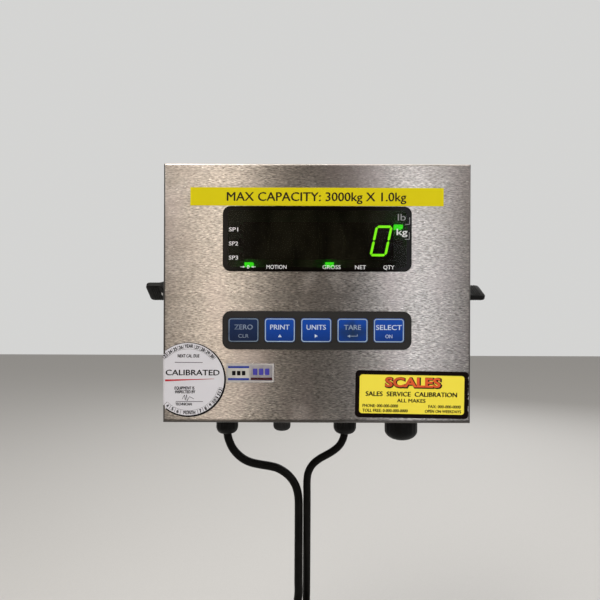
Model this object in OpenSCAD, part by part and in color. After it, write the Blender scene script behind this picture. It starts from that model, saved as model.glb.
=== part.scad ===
// Wall-mounted weight indicator for a pallet scale.
// Frame: millimetres, +Z up, wall plane at Y = 0, display faces -Y.
// Origin: centre of the yoke's wall plate, on its back face.

/* [Case] */
// Width of the front panel
case_w = 201; // [190:1:220]
// Height of the front panel
case_h = 169.5; // [165:0.5:180]
// Depth of the case from display face to back
case_d = 80; // [70:1:90]
// Thickness of the steel sheet
sheet = 1.5; // [1.2:0.1:2]
// Depth of the front panel's folded rim
rim_d = 24; // [20:1:28]

/* [Yoke] */
// Distance from the wall to the tilt axis
pivot_reach = 78; // [74:1:90]
// Height of the tilt axis above the case's middle
pivot_rise = 1.5; // [0:0.5:3]
// Thickness of the yoke's plate
yoke_t = 3; // [2.5:0.5:3]
// Height of the yoke's wall plate
plate_h = 80; // [70:2:100]
// Fixing hole spacing across the wall plate
hole_dx = 150; // [120:5:170]
// Fixing hole spacing up the wall plate
hole_dz = 50; // [40:5:55]
// Diameter of the wall fixing holes
hole_dia = 6.6; // [5.5:0.1:7]

/* [Display] */
// Width of the display window
window_w = 123.3; // [120:0.1:126]
// Height of the display window
window_h = 42.6; // [40:0.1:44]
// Height of the window's middle above the case's middle
window_z = 35.5; // [34:0.5:36]
// Height of a digit
digit_h = 20.3; // [18:0.1:21]
// Number of digits
digit_count = 6; // [4:1:6]
// Distance from one digit to the next
digit_pitch = 16.5; // [16.4:0.1:17]

/* [Keypad] */
// Width of the keypad strip
strip_w = 123.2; // [121:0.1:126]
// Height of the keypad strip
strip_h = 25; // [23:0.5:28]
// Height of the keypad's middle above the case's middle
strip_z = -24.2; // [-26:0.1:-22]
// Width of a key
key_w = 19.9; // [18:0.1:20.5]
// Height of a key
key_h = 15.7; // [14:0.1:17]
// Distance from one key to the next
key_pitch = 23.65; // [23:0.05:24]

/* [Knobs] */
// Width of the wing across the knob
wing_w = 18; // [15:1:20]
// Thickness of the wing
wing_t = 4.2; // [3.5:0.1:5]
// Distance from the case's middle to the wing's tip
wing_reach = 122; // [118:1:126]
// Angle of the left wing at rest
left_turn = 34; // [0:1:45]
// Angle of the right wing at rest
right_turn = -27; // [-45:1:0]

/* [Cables] */
// Diameter of the mains lead
power_dia = 6; // [5.8:0.1:6]
// Diameter of the load-cell cable
cell_dia = 5.5; // [5.2:0.1:5.5]

/* [Hidden] */

fine = 64;          // facets asked for on a round face
slack = 0.05;       // running fit and assembly gap

// Places of the case, in the case's own frame: X across, Z up, Y = 0 on the tilt axis
front_y = -case_d / 2;
back_y = case_d / 2;
fold_r = sheet;                     // outer radius of a folded edge
nest_gap = 0.25;                    // between the rim and the housing
house_w = case_w - 2 * (sheet + nest_gap);
house_h = case_h - 2 * (sheet + nest_gap);
gasket_t = 3;
gasket_w = 9;
house_y = front_y + sheet + gasket_t;
floor_z = -house_h / 2;             // underside of the housing, where the glands sit

// Tilt joint, from the housing outwards
washer_t = 1.5;
washer_r = 12;
bush_r = 6;
stud_r = 3;
arm_in = house_w / 2 + washer_t + 2 * slack;
arm_out = arm_in + yoke_t;
arm_tip_r = 15;
yoke_bend_r = 5;
knob_x = arm_out + 2 * slack;
hub_r = 8.5;
hub_l = 6.5;

// Layers of the display, from the display face inwards
film_t = 0.5;
window_r = 5;
glass_gap = 0.7;
block_y = front_y + sheet + glass_gap;
block_d = 8;
segment_t = 0.1;
segment_w = 1.6;
digit_lean = 12;
last_digit_x = 42.1;
board_t = 1.6;
board_y = block_y + block_d;

// Layers of the keypad, from the display face outwards
circuit_t = 0.2;
dome_h = 0.2;
overlay_t = 0.85;
key_under = 0.8;
key_t = 0.45;
key_gap = 0.2;
first_key_x = -0.5 - 2 * key_pitch;
key_r = 2;

// Glands, left to right
power_x = -64;
plug_x = -24;
cell_x = 22;
blank_x = 63;
gland_tip = -101.7;
cable_gap = 0.35;                   // between a cable and its gland's bore

// Cable routes in the part's own frame, from the gland downwards: [x, y, z]
cable_start = -90;
power_upper = [
  [-64, -78, cable_start], [-64, -78, -95.5], [-64, -78, -101], [-63.1, -78, -107.5],
  [-59.5, -78, -115.3], [-53.3, -78, -121.5], [-46.7, -78, -124.8], [-39.5, -78, -126.4],
  [-32.2, -78, -127.6], [-25.9, -78, -129.5], [-18.8, -78, -134.5], [-13.9, -78, -141.6],
  [-11.8, -78, -150], [-11.5, -78, -160]
];
power_lower = [
  [-11.5, -78, -161], [-11.5, -78.5, -171], [-11.5, -80.5, -183], [-11.5, -83, -195.5],
  [-11.5, -84.5, -207.5], [-11.5, -85, -217.6], [-13.4, -85, -227], [-18.8, -85, -234.9],
  [-26.9, -85, -240]
];
cell_upper = [
  [22, -78, cable_start], [22, -78, -95.5], [22, -78, -101], [20.9, -78, -107.2],
  [17.8, -78, -112.6], [13, -78, -116.6], [8.3, -78, -119.4], [3.5, -78, -122.1],
  [-1.3, -78, -126.1], [-4.4, -78, -131.5], [-5.5, -78, -138], [-5.5, -78, -149],
  [-5.5, -78, -160]
];
cell_lower = [
  [-5.5, -78, -161], [-5.5, -77.5, -172.5], [-5.5, -76.5, -186], [-5.5, -75, -200],
  [-5.5, -73.5, -212], [-5.5, -72.5, -222], [-5.5, -72.5, -230.6], [-3.6, -72.5, -240],
  [1.8, -72.5, -247.9], [9.9, -72.5, -253]
];
power_tail = [[-55.5, -96.5, -280], [-55.5, -96.5, -293], [-55.5, -96.5, -306]];
cell_tail = [[36, -57, -293], [36, -57, -305], [36, -57, -317]];
power_coil_at = [-11.5, -91, -277.5];
power_coil_r = 35;
power_bundle_r = 10.5;
cell_coil_at = [-5.5, -65, -290.5];
cell_coil_r = 33;
cell_bundle_r = 11.4;

// ---- Helpers ---------------------------------------------------------------------------

// The case's own frame: its middle at case height, Y = 0 on the tilt axis
module in_case() translate([0, -pivot_reach, -pivot_rise]) children();

// A flat shape drawn in X and Z, given a thickness from y towards the viewer
module slab(y, t) translate([0, y, 0]) rotate([90, 0, 0]) linear_extrude(t) children();

// A shape drawn in Y and Z, given a width along X
module along_x(w) rotate([90, 0, 90]) linear_extrude(w, center = true) children();

// Points of a quarter arc round c, from angle a
function arc(c, r, a, n = 8) = [for (i = [0:n]) c + r * [cos(a + 90 * i / n), sin(a + 90 * i / n)]];

// Points of a rectangle with round corners
function round_rect(w, h, r) = concat(
  arc([w / 2 - r, h / 2 - r], r, 0), arc([-w / 2 + r, h / 2 - r], r, 90),
  arc([-w / 2 + r, -h / 2 + r], r, 180), arc([w / 2 - r, -h / 2 + r], r, 270));

function reversed(p) = [for (i = [len(p) - 1:-1:0]) p[i]];

module round_plate(w, h, r) polygon(round_rect(w, h, r));

// Outline of a folded sheet seen along the fold: the two front corners are round
function folded(w, d, r) = concat(
  [[w / 2, d], [-w / 2, d]],
  arc([-w / 2 + r, r], r, 180, 6), arc([w / 2 - r, r], r, 270, 6));

// Closed block whose front face is at Y = 0 and whose front edges are folded round
module folded_block(w, h, d, r) intersection() {
  linear_extrude(h, center = true) polygon(folded(w, d, r));
  along_x(w) polygon([for (p = folded(h, d, r)) [p[1], p[0]]]);
}

// A rod along X from x0 to x1
module rod_x(x0, x1, r) translate([x0, 0, 0]) rotate([0, 90, 0]) cylinder(h = x1 - x0, r = r, $fn = fine);

// Both sides of the case
module both_sides() for (side = [0, 1]) mirror([side, 0, 0]) children();

// Cubic curve through four points, between b and c
function spline(a, b, c, d, t) = 0.5 * (2 * b + (c - a) * t + (2 * a - 5 * b + 4 * c - d) * t * t
  + (3 * b - a - 3 * c + d) * t * t * t);

// Route through the points, with extra points between each pair
function smooth_route(p, k = 2) = let (n = len(p)) concat(
  [for (i = [0:n - 2], j = [0:k - 1])
    spline(p[max(i - 1, 0)], p[i], p[i + 1], p[min(i + 2, n - 1)], j / k)],
  [p[n - 1]]);

function unit(v) = v / norm(v);

// A round cable swept along a route that never runs along Y
module cable(route, d, sides = 10) {
  p = smooth_route(route);
  n = len(p);
  rings = [for (i = [0:n - 1])
    let (t = unit(p[min(i + 1, n - 1)] - p[max(i - 1, 0)]), u = unit(cross(t, [0, 1, 0])), v = cross(u, t))
    for (k = [0:sides - 1]) p[i] + d / 2 * (cos(360 * k / sides) * u + sin(360 * k / sides) * v)];
  walls = [for (i = [0:n - 2], k = [0:sides - 1])
    [i * sides + k, i * sides + (k + 1) % sides, (i + 1) * sides + (k + 1) % sides, (i + 1) * sides + k]];
  ends = [[for (k = [sides - 1:-1:0]) k], [for (k = [0:sides - 1]) (n - 1) * sides + k]];
  polyhedron(rings, concat(walls, ends));
}

// ---- Yoke and tilt joint -----------------------------------------------------------------

module yoke_bracket() color("silver") difference() {
  intersection() {
    linear_extrude(plate_h, center = true) difference() {
      mirror([0, 1]) polygon(folded(2 * arm_out, pivot_reach + arm_tip_r, yoke_bend_r));
      translate([0, -yoke_t]) mirror([0, 1])
        polygon(folded(2 * arm_in, pivot_reach + arm_tip_r, yoke_bend_r - yoke_t));
    }
    along_x(2 * arm_out + 2) {
      polygon([[0, -plate_h / 2], [0, plate_h / 2], [-25, plate_h / 2],
               [-pivot_reach, arm_tip_r], [-pivot_reach, -arm_tip_r], [-25, -plate_h / 2]]);
      translate([-pivot_reach, 0]) circle(r = arm_tip_r, $fn = fine);
    }
  }
  both_sides() translate([0, -pivot_reach, 0]) rod_x(arm_in - 1, arm_out + 1, bush_r + slack);
  for (x = [-1, 1], z = [-1, 1])
    translate([x * hole_dx / 2, 1, z * hole_dz / 2]) rotate([90, 0, 0])
      cylinder(h = yoke_t + 2, r = hole_dia / 2, $fn = fine);
}

// Shouldered weld nuts in the housing's sides, on which the yoke's arms turn
module pivot_bushes() color("gainsboro") translate([0, -pivot_reach, 0]) both_sides() difference() {
  union() {
    rod_x(house_w / 2 - sheet - 2, house_w / 2 - sheet, 9);
    rod_x(house_w / 2 - sheet, arm_out - 0.2, bush_r);
  }
  rod_x(house_w / 2 - sheet - 3, arm_out + 1, stud_r + slack);
}

module friction_washers() color("dimgray") translate([0, -pivot_reach, 0]) both_sides() difference() {
  rod_x(house_w / 2, house_w / 2 + washer_t, washer_r);
  rod_x(house_w / 2 - 1, house_w / 2 + washer_t + 1, bush_r + slack);
}

// ---- Knobs -------------------------------------------------------------------------------

// Flat wing and round hub, drawn for the right-hand side with the wing level
module knob_wing() difference() {
  union() {
    rod_x(knob_x, knob_x + hub_l, hub_r);
    linear_extrude(wing_t, center = true) polygon(concat(
      [[knob_x + 1, wing_w / 2 - 1.5], [knob_x + 1, -wing_w / 2 + 1.5]],
      arc([wing_reach - 4, -wing_w / 2 + 4], 4, 270), arc([wing_reach - 4, wing_w / 2 - 4], 4, 0)));
  }
  rod_x(knob_x - 1, knob_x + hub_l + 2, stud_r + slack);
}

module knob_stud() {
  rod_x(house_w / 2 - sheet - 2, knob_x + hub_l + 2, stud_r);
}

module at_knob(side, turn) translate([0, -pivot_reach, 0]) rotate([turn, 0, 0]) mirror([side, 0, 0]) children();

module knob_left_wing() color("#1b1b1c") at_knob(1, -left_turn) knob_wing();
module knob_left_stud() color("silver") at_knob(1, -left_turn) knob_stud();
module knob_right_wing() color("#1b1b1c") at_knob(0, -right_turn) knob_wing();
module knob_right_stud() color("silver") at_knob(0, -right_turn) knob_stud();

// ---- Case --------------------------------------------------------------------------------

screw_x = [-72, 0, 72];
screw_y = front_y + 14;
screw_r = 2;

module screw_holes(r) for (x = screw_x) translate([x, screw_y, 0])
  cylinder(h = case_h + 2, r = r, center = true, $fn = fine);

module front_panel() color("#b9b2a8") in_case() difference() {
  translate([0, front_y, 0]) difference() {
    folded_block(case_w, case_h, rim_d, fold_r);
    translate([0, sheet, 0])
      folded_block(case_w - 2 * sheet, case_h - 2 * sheet, rim_d, 0.2);
  }
  translate([0, 0, window_z]) slab(front_y + sheet + 1, sheet + 2) round_plate(window_w - 6, window_h - 5, 3);
  slab(front_y + sheet + 1, sheet + 2) translate([-0.5, strip_z + strip_h / 2 - 3]) square([14, 1.6], center = true);
  screw_holes(screw_r + 0.15);
}

module rear_housing() color("#a9a49c") in_case() difference() {
  translate([0, back_y, 0]) mirror([0, 1, 0]) difference() {
    folded_block(house_w, house_h, back_y - house_y, fold_r);
    translate([0, sheet, 0]) difference() {
      folded_block(house_w - 2 * sheet, house_h - 2 * sheet, back_y - house_y, 0.2);
      // Rim turned inwards to carry the gasket
      translate([0, back_y - house_y - 2 * sheet, 0]) linear_extrude(2 * case_h, center = true)
        translate([-case_w, 0]) square([2 * case_w, sheet]);
    }
    translate([0, back_y - house_y, 0]) rotate([90, 0, 0])
      linear_extrude(4 * sheet, center = true) square([house_w - 2 * gasket_w, house_h - 2 * gasket_w], center = true);
  }
  translate([0, 0, pivot_rise]) both_sides() rod_x(house_w / 2 - sheet - 1, house_w / 2 + 1, bush_r + slack);
  for (g = [[power_x, 7.6], [plug_x, 4.6], [cell_x, 7.6], [blank_x, 10.1]])
    translate([g[0], 0, floor_z - 1]) cylinder(h = sheet + 2, r = g[1], $fn = fine);
  translate([88, 26, floor_z - 1]) cylinder(h = sheet + 2, r = 2.55, $fn = fine);
  screw_holes(screw_r + 0.15);
}

module panel_gasket() color("#2a2a2a") in_case() slab(house_y, gasket_t) difference() {
  square([house_w - 0.6, house_h - 0.6], center = true);
  square([house_w - 2 * gasket_w, house_h - 2 * gasket_w], center = true);
}

module panel_screws() color("silver") in_case() for (x = screw_x, up = [0, 1])
  mirror([0, 0, up]) translate([x, screw_y, case_h / 2]) difference() {
    union() {
      translate([0, 0, -7]) cylinder(h = 7, r = screw_r, $fn = fine);
      cylinder(h = 1.7, r = 3.6, $fn = fine);
    }
    translate([0, 0, 0.6]) cylinder(h = 2, r = 1.4, $fn = 6);
  }

module ground_stud() color("#c8a64b") in_case() translate([88, 26, floor_z]) {
  translate([0, 0, -9]) cylinder(h = 16, r = 2.5, $fn = fine);
  for (z = [-4.2, sheet]) translate([0, 0, z]) difference() {
    cylinder(h = 4, r = 4.6, $fn = 6);
    cylinder(h = 4, r = 2.5, $fn = fine);
  }
}

// ---- Display -----------------------------------------------------------------------------

module display_window() color("#101012") in_case() translate([0, 0, window_z])
  slab(front_y, film_t) round_plate(window_w, window_h, window_r);

function digit_x(i) = last_digit_x - (digit_count - 1 - i) * digit_pitch;

module digit_blocks() color("#202022") in_case() for (i = [0:digit_count - 1])
  translate([digit_x(i), 0, window_z - 0.9]) slab(block_y + block_d, block_d)
    square([digit_pitch - 0.3, digit_h + 4], center = true);

// Outline of one bar of a digit, with pointed ends, lying along X
function bar(l) = let (e = l / 2, c = segment_w / 2)
  [[-e, 0], [-e + c, c], [e - c, c], [e, 0], [e - c, -c], [-e + c, -c]];

// The chosen bars of a seven-segment digit: 0 top, 1 and 2 right, 3 bottom, 4 and 5 left, 6 middle
module digit(bars) {
  w = 11.2 - segment_w;
  h = digit_h / 2 - segment_w / 2;
  lean = tan(digit_lean);
  places = [[0, h, 0], [w / 2, h / 2, 90], [w / 2, -h / 2, 90], [0, -h, 0],
            [-w / 2, -h / 2, 90], [-w / 2, h / 2, 90], [0, 0, 0]];
  for (b = bars) let (s = places[b], upright = s[2] == 90)
    polygon([for (p = bar((upright ? h : w) - 0.35))
      let (x = s[0] + (upright ? -p[1] : p[0]), z = s[1] + (upright ? p[0] : p[1])) [x + lean * z, z]]);
}

module digits(last, bars) in_case() for (i = [0:digit_count - 1]) if ((i == digit_count - 1) == last)
  translate([digit_x(i), 0, window_z - 0.9]) slab(block_y, segment_t) digit(bars);

module digit_segments_lit() color("#9dff20") digits(true, [0, 1, 2, 3, 4, 5]);
module digit_segments_unlit() color("#3a3f3a") {
  digits(false, [0, 1, 2, 3, 4, 5, 6]);
  digits(true, [6]);
}

// Lamps: [x, z, width, height]
lamps_lit = [[-45, 18.8, 5.4, 2.9], [8.4, 18.9, 5.4, 3.2], [53.6, 44.2, 5.6, 2.4]];
lamps_unlit = [[-26.5, 18.8, 5.4, 2.9], [28.2, 18.8, 5.4, 2.9], [46.7, 18.8, 5.4, 2.9], [53.6, 34, 5.6, 2.4],
               [-50.2, 42.6, 2.4, 5], [-50.2, 33.4, 2.4, 5], [-50.2, 24.2, 2.4, 5]];

module lamps(list) in_case() for (l = list)
  translate([l[0], 0, l[1]]) slab(board_y, block_d) square([l[2], l[3]], center = true);

module annunciators_lit() color("#35e512") lamps(lamps_lit);
module annunciators_unlit() color("#3a3f3a") lamps(lamps_unlit);

display_board_w = 150;
display_board_h = 56;
display_stud_at = [for (x = [-1, 1], z = [-1, 1]) [x * 70, window_z + z * 24]];

module display_board() color("#1f5a36") in_case() difference() {
  translate([0, 0, window_z]) slab(board_y + board_t, board_t) square([display_board_w, display_board_h], center = true);
  for (p = display_stud_at) translate([p[0], board_y - 1, p[1]]) rotate([-90, 0, 0])
    cylinder(h = board_t + 2, r = 1.6, $fn = fine);
}

module display_studs() color("silver") in_case() for (p = display_stud_at)
  translate([p[0], front_y + sheet, p[1]]) rotate([-90, 0, 0]) {
    cylinder(h = board_y - front_y - sheet, r = 3, $fn = fine);
    cylinder(h = board_y - front_y - sheet + 6, r = 1.5, $fn = fine);
  }

module display_nuts() color("silver") in_case() for (p = display_stud_at)
  translate([p[0], board_y + board_t, p[1]]) rotate([-90, 0, 0]) difference() {
    cylinder(h = 2.4, r = 3.1, $fn = 6);
    translate([0, 0, -1]) cylinder(h = 5, r = 1.55, $fn = fine);
  }

// ---- Keypad ------------------------------------------------------------------------------

function key_x(i) = first_key_x + i * key_pitch;

module keypad_circuit() color("#26262a") in_case() translate([0, 0, strip_z]) difference() {
  slab(front_y, circuit_t) round_plate(strip_w, strip_h, 5.5);
  slab(front_y + 1, 3) translate([-0.5, strip_h / 2 - 3]) square([13.4, 1.2], center = true);
}

module keypad_domes() color("silver") in_case() for (i = [0:4])
  translate([key_x(i), front_y - circuit_t, strip_z]) rotate([90, 0, 0])
    cylinder(h = dome_h, r1 = 5, r2 = 3.5, $fn = fine);

module keypad_overlay() color("#2e2f33") in_case() translate([0, 0, strip_z])
  slab(front_y - circuit_t, overlay_t) difference() {
    round_plate(strip_w, strip_h, 5.5);
    for (i = [0:4]) translate([key_x(i), 0.1]) round_plate(key_w + 2 * key_gap, key_h + 2 * key_gap, key_r + key_gap);
  }

// Flat tail from the keypad through the panel up to the display board
module keypad_tail() color("#b98a3a") in_case() {
  tail_z = strip_z + strip_h / 2 - 3;
  translate([-0.5, 0, 0]) along_x(12) polygon([
    [front_y - circuit_t, tail_z - 0.2], [front_y + 4, tail_z - 0.2], [front_y + 4, 0.8],
    [board_y, 8.4], [board_y, 8.7], [front_y + 3.8, 1], [front_y + 3.8, tail_z], [front_y - circuit_t, tail_z]]);
}

module key(i) color("#1a49a8") in_case() translate([key_x(i), 0, strip_z + 0.1])
  slab(front_y - key_under, key_t) round_plate(key_w, key_h, key_r);

module key_zero() key(0);
module key_print() key(1);
module key_units() key(2);
module key_tare() key(3);
module key_select() key(4);

// ---- Electronics in the housing ------------------------------------------------------------

main_w = 150;
main_h = 104;
standoff_h = 8;
main_y = back_y - sheet - standoff_h - board_t;
board_hole_at = [for (x = [-1, 1], z = [-1, 1]) [x * (main_w / 2 - 5), z * (main_h / 2 - 5)]];

// A box on the main board's front: place, width, height, depth
module on_board(x, z, w, h, d) translate([x, main_y, z]) translate([-w / 2, -d, -h / 2]) cube([w, d, h]);

module main_board() color("#1f5a36") in_case() difference() {
  translate([-main_w / 2, main_y, -main_h / 2]) cube([main_w, board_t, main_h]);
  for (p = board_hole_at) translate([p[0], main_y - 1, p[1]]) rotate([-90, 0, 0])
    cylinder(h = board_t + 2, r = 1.65, $fn = fine);
}

module board_standoffs() color("silver") in_case() for (p = board_hole_at)
  translate([p[0], main_y + board_t, p[1]]) rotate([-90, 0, 0]) difference() {
    cylinder(h = standoff_h, r = 3.2, $fn = 6);
    translate([0, 0, -1]) cylinder(h = 6, r = 1.55, $fn = fine);
  }

module board_screws() color("silver") in_case() for (p = board_hole_at)
  translate([p[0], main_y, p[1]]) rotate([90, 0, 0]) {
    cylinder(h = 2, r = 2.8, $fn = fine);
    translate([0, 0, -5]) cylinder(h = 5, r = 1.5, $fn = fine);
  }

module board_chips() color("#1c1c1e") in_case() {
  on_board(-10, 12, 20, 20, 2.4);
  on_board(22, 14, 10, 16, 2);
  on_board(40, 14, 10, 16, 2);
  on_board(16, -14, 14, 10, 2);
  on_board(-34, 34, 8, 12, 2);
}

module board_capacitors() color("#2c3c66") in_case() for (c = [[-33, -8, 5, 14], [-23, -20, 4, 11], [-11, -15, 3.2, 9]])
  translate([c[0], main_y, c[1]]) rotate([90, 0, 0]) cylinder(h = c[3], r = c[2], $fn = fine);

module cell_terminal() color("#3d8a4f") in_case() difference() {
  on_board(28, -42, 44, 11, 12);
  for (i = [0:7]) translate([10.5 + 5 * i, main_y - 12, -42]) rotate([90, 0, 0])
    cylinder(h = 3, r = 1.7, center = true, $fn = fine);
}

module mains_terminal() color("#3d8a4f") in_case() difference() {
  on_board(-55, -42, 20, 12, 14);
  for (i = [0:2]) translate([-61 + 6 * i, main_y - 14, -42]) rotate([90, 0, 0])
    cylinder(h = 3, r = 2.1, center = true, $fn = fine);
}

module fuse_holder() color("#d8d4c8") in_case() {
  on_board(-58, -24, 24, 9, 4);
  translate([-68, main_y - 6.6, -24]) rod_x(0, 20, 2.6);
}

module transformer() color("#5b5f66") in_case() {
  on_board(-56, 14, 32, 42, 8);
  on_board(-56, 14, 24, 28, 26);
}

// Flat cable between the two boards
module ribbon_cable() color("#9aa0a6") in_case() translate([52, 0, 0]) along_x(26) polygon([
  [board_y + board_t, 50], [board_y + board_t + 5, 50], [board_y + board_t + 9, 46],
  [main_y - 5, 38], [main_y, 38], [main_y, 37], [main_y - 5.4, 37], [board_y + board_t + 8.4, 45.2],
  [board_y + board_t + 4.6, 49], [board_y + board_t, 49]]);

// The two cables inside the case, from their glands to their terminals
module inner_leads() color("#1b1b1c")
  for (lead = [[power_x, power_dia], [cell_x, cell_dia]]) let (x = lead[0], y = -pivot_reach)
    cable([[x, y, cable_start], [x, y, -83], [x, y, -76], [x, y, -72], [x, y + 2, -67.5], [x + 1, y + 8, -62],
           [x + 3, y + 15, -57.5], [x + 4, y + 19.5, -54], [x + 4, y + 20, -50.5]], lead[1]);

// ---- Labels ------------------------------------------------------------------------------

tape_w = 165.4;
tape_h = 11.9;
tape_z = 63.05;
film = 0.15;
sticker_r = 24.35;
sticker_at = [-83.6, -56.7];
label_w = 74.1;
label_h = 30.8;
label_at = [62.2, -65.9];

module capacity_tape() color("#e6d820") in_case() slab(front_y, film)
  translate([-0.2, tape_z]) square([tape_w, tape_h], center = true);

// Round sticker that wraps round the case's left edge and lies on its side
module calibration_sticker() color("white") in_case() {
  edge_x = -case_w / 2 + fold_r;
  folded_x = edge_x - fold_r * PI / 2;    // where the fold ends, measured on the flat sticker
  side_y = front_y + fold_r;
  slab(front_y, film) intersection() {
    translate(sticker_at) circle(r = sticker_r, $fn = fine);
    translate([edge_x, -case_h / 2]) square([2 * sticker_r, case_h]);
  }
  chord = 2 * sqrt(sticker_r * sticker_r - pow(folded_x - sticker_at[0], 2));
  translate([edge_x, side_y, sticker_at[1]]) linear_extrude(chord, center = true)
    polygon(concat(arc([0, 0], fold_r + film, 180, 6), reversed(arc([0, 0], fold_r, 180, 6))));
  translate([-case_w / 2 - film, 0, 0]) rotate([90, 0, 90]) linear_extrude(film) intersection() {
    translate([side_y + folded_x - sticker_at[0], sticker_at[1]]) circle(r = sticker_r, $fn = fine);
    translate([side_y, -case_h / 2]) square([sticker_r, case_h]);
  }
}

module maker_badge() color("#b9bcc4") in_case() slab(front_y, 0.8)
  translate([-43.45, -52.15]) round_plate(31.1, 12.3, 0.6);

module dealer_label() color("#e9d92a") in_case() slab(front_y, film)
  translate(label_at) rotate(-0.8) round_plate(label_w, label_h, 2.6);

// ---- Glands ------------------------------------------------------------------------------

// Body, hexagon and dome nut of a gland, hanging from the housing's floor. tip is the dome's lowest point.
module gland(x, r, hex_r, thread_r, tip, hole_r, sides = 6) in_case() translate([x, 0, 0]) difference() {
  drop = floor_z - tip;
  union() {
    translate([0, 0, floor_z - 1]) cylinder(h = sheet + 9, r = thread_r, $fn = fine);
    translate([0, 0, floor_z - 6]) cylinder(h = 5, r = hex_r, $fn = sides);
    translate([0, 0, floor_z]) rotate_extrude($fn = fine) polygon(concat(
      [[0, -drop], [0, -6]], [[r, -6]],
      [for (i = [0:6]) [r - 3.2 + 3.2 * cos(15 * i), -drop + 3.2 - 3.2 * sin(15 * i)]]));
  }
  if (hole_r > 0) translate([0, 0, tip - 1]) cylinder(h = drop + sheet + 12, r = hole_r, $fn = fine);
}

module power_gland() color("#17181a") gland(power_x, 8, 9.6, 7.5, gland_tip, power_dia / 2 + cable_gap);
module cell_gland() color("#17181a") gland(cell_x, 8.3, 9.8, 7.5, gland_tip, cell_dia / 2 + cable_gap);
module blind_plug() color("#17181a") gland(plug_x, 6.3, 6.9, 4.5, -99.4, 0, fine);
module blank_gland() color("#17181a") gland(blank_x, 11.9, 13.4, 10, -106, 0);

module gland_lock_nuts() color("#17181a") in_case()
  for (g = [[power_x, 7.5, 10.5], [plug_x, 4.5, 7.5], [cell_x, 7.5, 10.5], [blank_x, 10, 14]])
    translate([g[0], 0, floor_z + sheet]) difference() {
      cylinder(h = 4, r = g[2], $fn = 6);
      translate([0, 0, -1]) cylinder(h = 6, r = g[1] + slack, $fn = fine);
    }

// Flat rubber rings between the glands and the housing
module gland_seals() color("#0f0f10") in_case()
  for (g = [[power_x, 7.5, 9], [plug_x, 4.5, 6.4], [cell_x, 7.5, 9], [blank_x, 10, 12.6]])
    translate([g[0], 0, floor_z - 1]) difference() {
      cylinder(h = 1, r = g[2], $fn = fine);
      translate([0, 0, -1]) cylinder(h = 3, r = g[1] + slack, $fn = fine);
    }

// ---- Cables ------------------------------------------------------------------------------

// Closed ring with the outer shape of a wound coil that faces the viewer
module coil(at, r, bundle_r) translate(at) rotate([90, 0, 0])
  rotate_extrude($fn = fine) translate([r, 0]) circle(r = bundle_r, $fn = 32);

// Band round a coil's bundle, at an angle from the coil's top
module tie(at, r, bundle_r, angle) translate(at) rotate([0, angle, 0]) translate([-2.4, 0, r]) difference() {
  union() {
    rod_x(0, 4.8, bundle_r + 1.5);
    translate([-0.6, -3.4, bundle_r + 0.6]) cube([6, 6.8, 4.6]);
  }
  rod_x(-1, 7, bundle_r + 0.3);
}

module power_cord_upper() color("#151516") cable(power_upper, power_dia);
module power_cord_lower() color("#151516") {
  cable(power_lower, power_dia);
  cable(power_tail, power_dia);
}
module power_cord_coil() color("#151516") coil(power_coil_at, power_coil_r, power_bundle_r);
module cell_cable_upper() color("#151516") cable(cell_upper, cell_dia);
module cell_cable_lower() color("#151516") {
  cable(cell_lower, cell_dia);
  cable(cell_tail, cell_dia);
}
module cell_cable_coil() color("#151516") coil(cell_coil_at, cell_coil_r, cell_bundle_r);

module coil_ties() color("#0e0e0f") {
  for (a = [45, -135]) tie(power_coil_at, power_coil_r, power_bundle_r, a);
  for (a = [-45, 135]) tie(cell_coil_at, cell_coil_r, cell_bundle_r, a);
}

// Three-pin mains plug, hanging blades down, with its tapered strain relief above
module power_plug() color("#1a1a1b") translate(power_tail[len(power_tail) - 1]) {
  translate([0, 0, -24]) cylinder(h = 24, r1 = 6, r2 = 4, $fn = fine);
  translate([0, 0, -54]) linear_extrude(30) round_plate(28, 22, 8);
  for (x = [-6.35, 6.35]) translate([x, 2.5, -63]) cube([1.6, 6.4, 18], center = true);
  translate([0, -6, -74]) cylinder(h = 20, r = 2.4, $fn = fine);
}

// Round load-cell connector with a coupling ring, hanging from its cable
module cell_connector() color("#8f9296") translate(cell_tail[len(cell_tail) - 1]) {
  translate([0, 0, -18]) cylinder(h = 18, r1 = 7, r2 = 3.8, $fn = fine);
  translate([0, 0, -36]) cylinder(h = 18, r = 8, $fn = fine);
  translate([0, 0, -52]) cylinder(h = 16, r = 9.6, $fn = fine);
  translate([0, 0, -55]) cylinder(h = 3, r = 7.4, $fn = fine);
}

yoke_bracket();
pivot_bushes();
friction_washers();
knob_left_wing();
knob_left_stud();
knob_right_wing();
knob_right_stud();
front_panel();
rear_housing();
panel_gasket();
panel_screws();
ground_stud();
display_window();
digit_blocks();
digit_segments_lit();
digit_segments_unlit();
annunciators_lit();
annunciators_unlit();
display_board();
display_studs();
display_nuts();
keypad_circuit();
keypad_domes();
keypad_overlay();
keypad_tail();
key_zero();
key_print();
key_units();
key_tare();
key_select();
main_board();
board_standoffs();
board_screws();
board_chips();
board_capacitors();
cell_terminal();
mains_terminal();
fuse_holder();
transformer();
ribbon_cable();
inner_leads();
capacity_tape();
calibration_sticker();
maker_badge();
dealer_label();
power_gland();
cell_gland();
gland_lock_nuts();
gland_seals();
blind_plug();
blank_gland();
power_cord_upper();
power_cord_lower();
power_cord_coil();
power_plug();
cell_cable_upper();
cell_cable_lower();
cell_cable_coil();
cell_connector();
coil_ties();
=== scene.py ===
"""Looks of a wall-mounted weight indicator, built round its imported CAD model.

Lengths are in metres in the frame of the part: +Z up, the display faces -Y, the wall is at Y = 0.
Sizes written as 3.1 * MM are millimetres. Prints, profiles and outlines are in plain millimetres.
"Face" places are measured across and up from the middle of the front panel.
"""
import functools
import math

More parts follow.
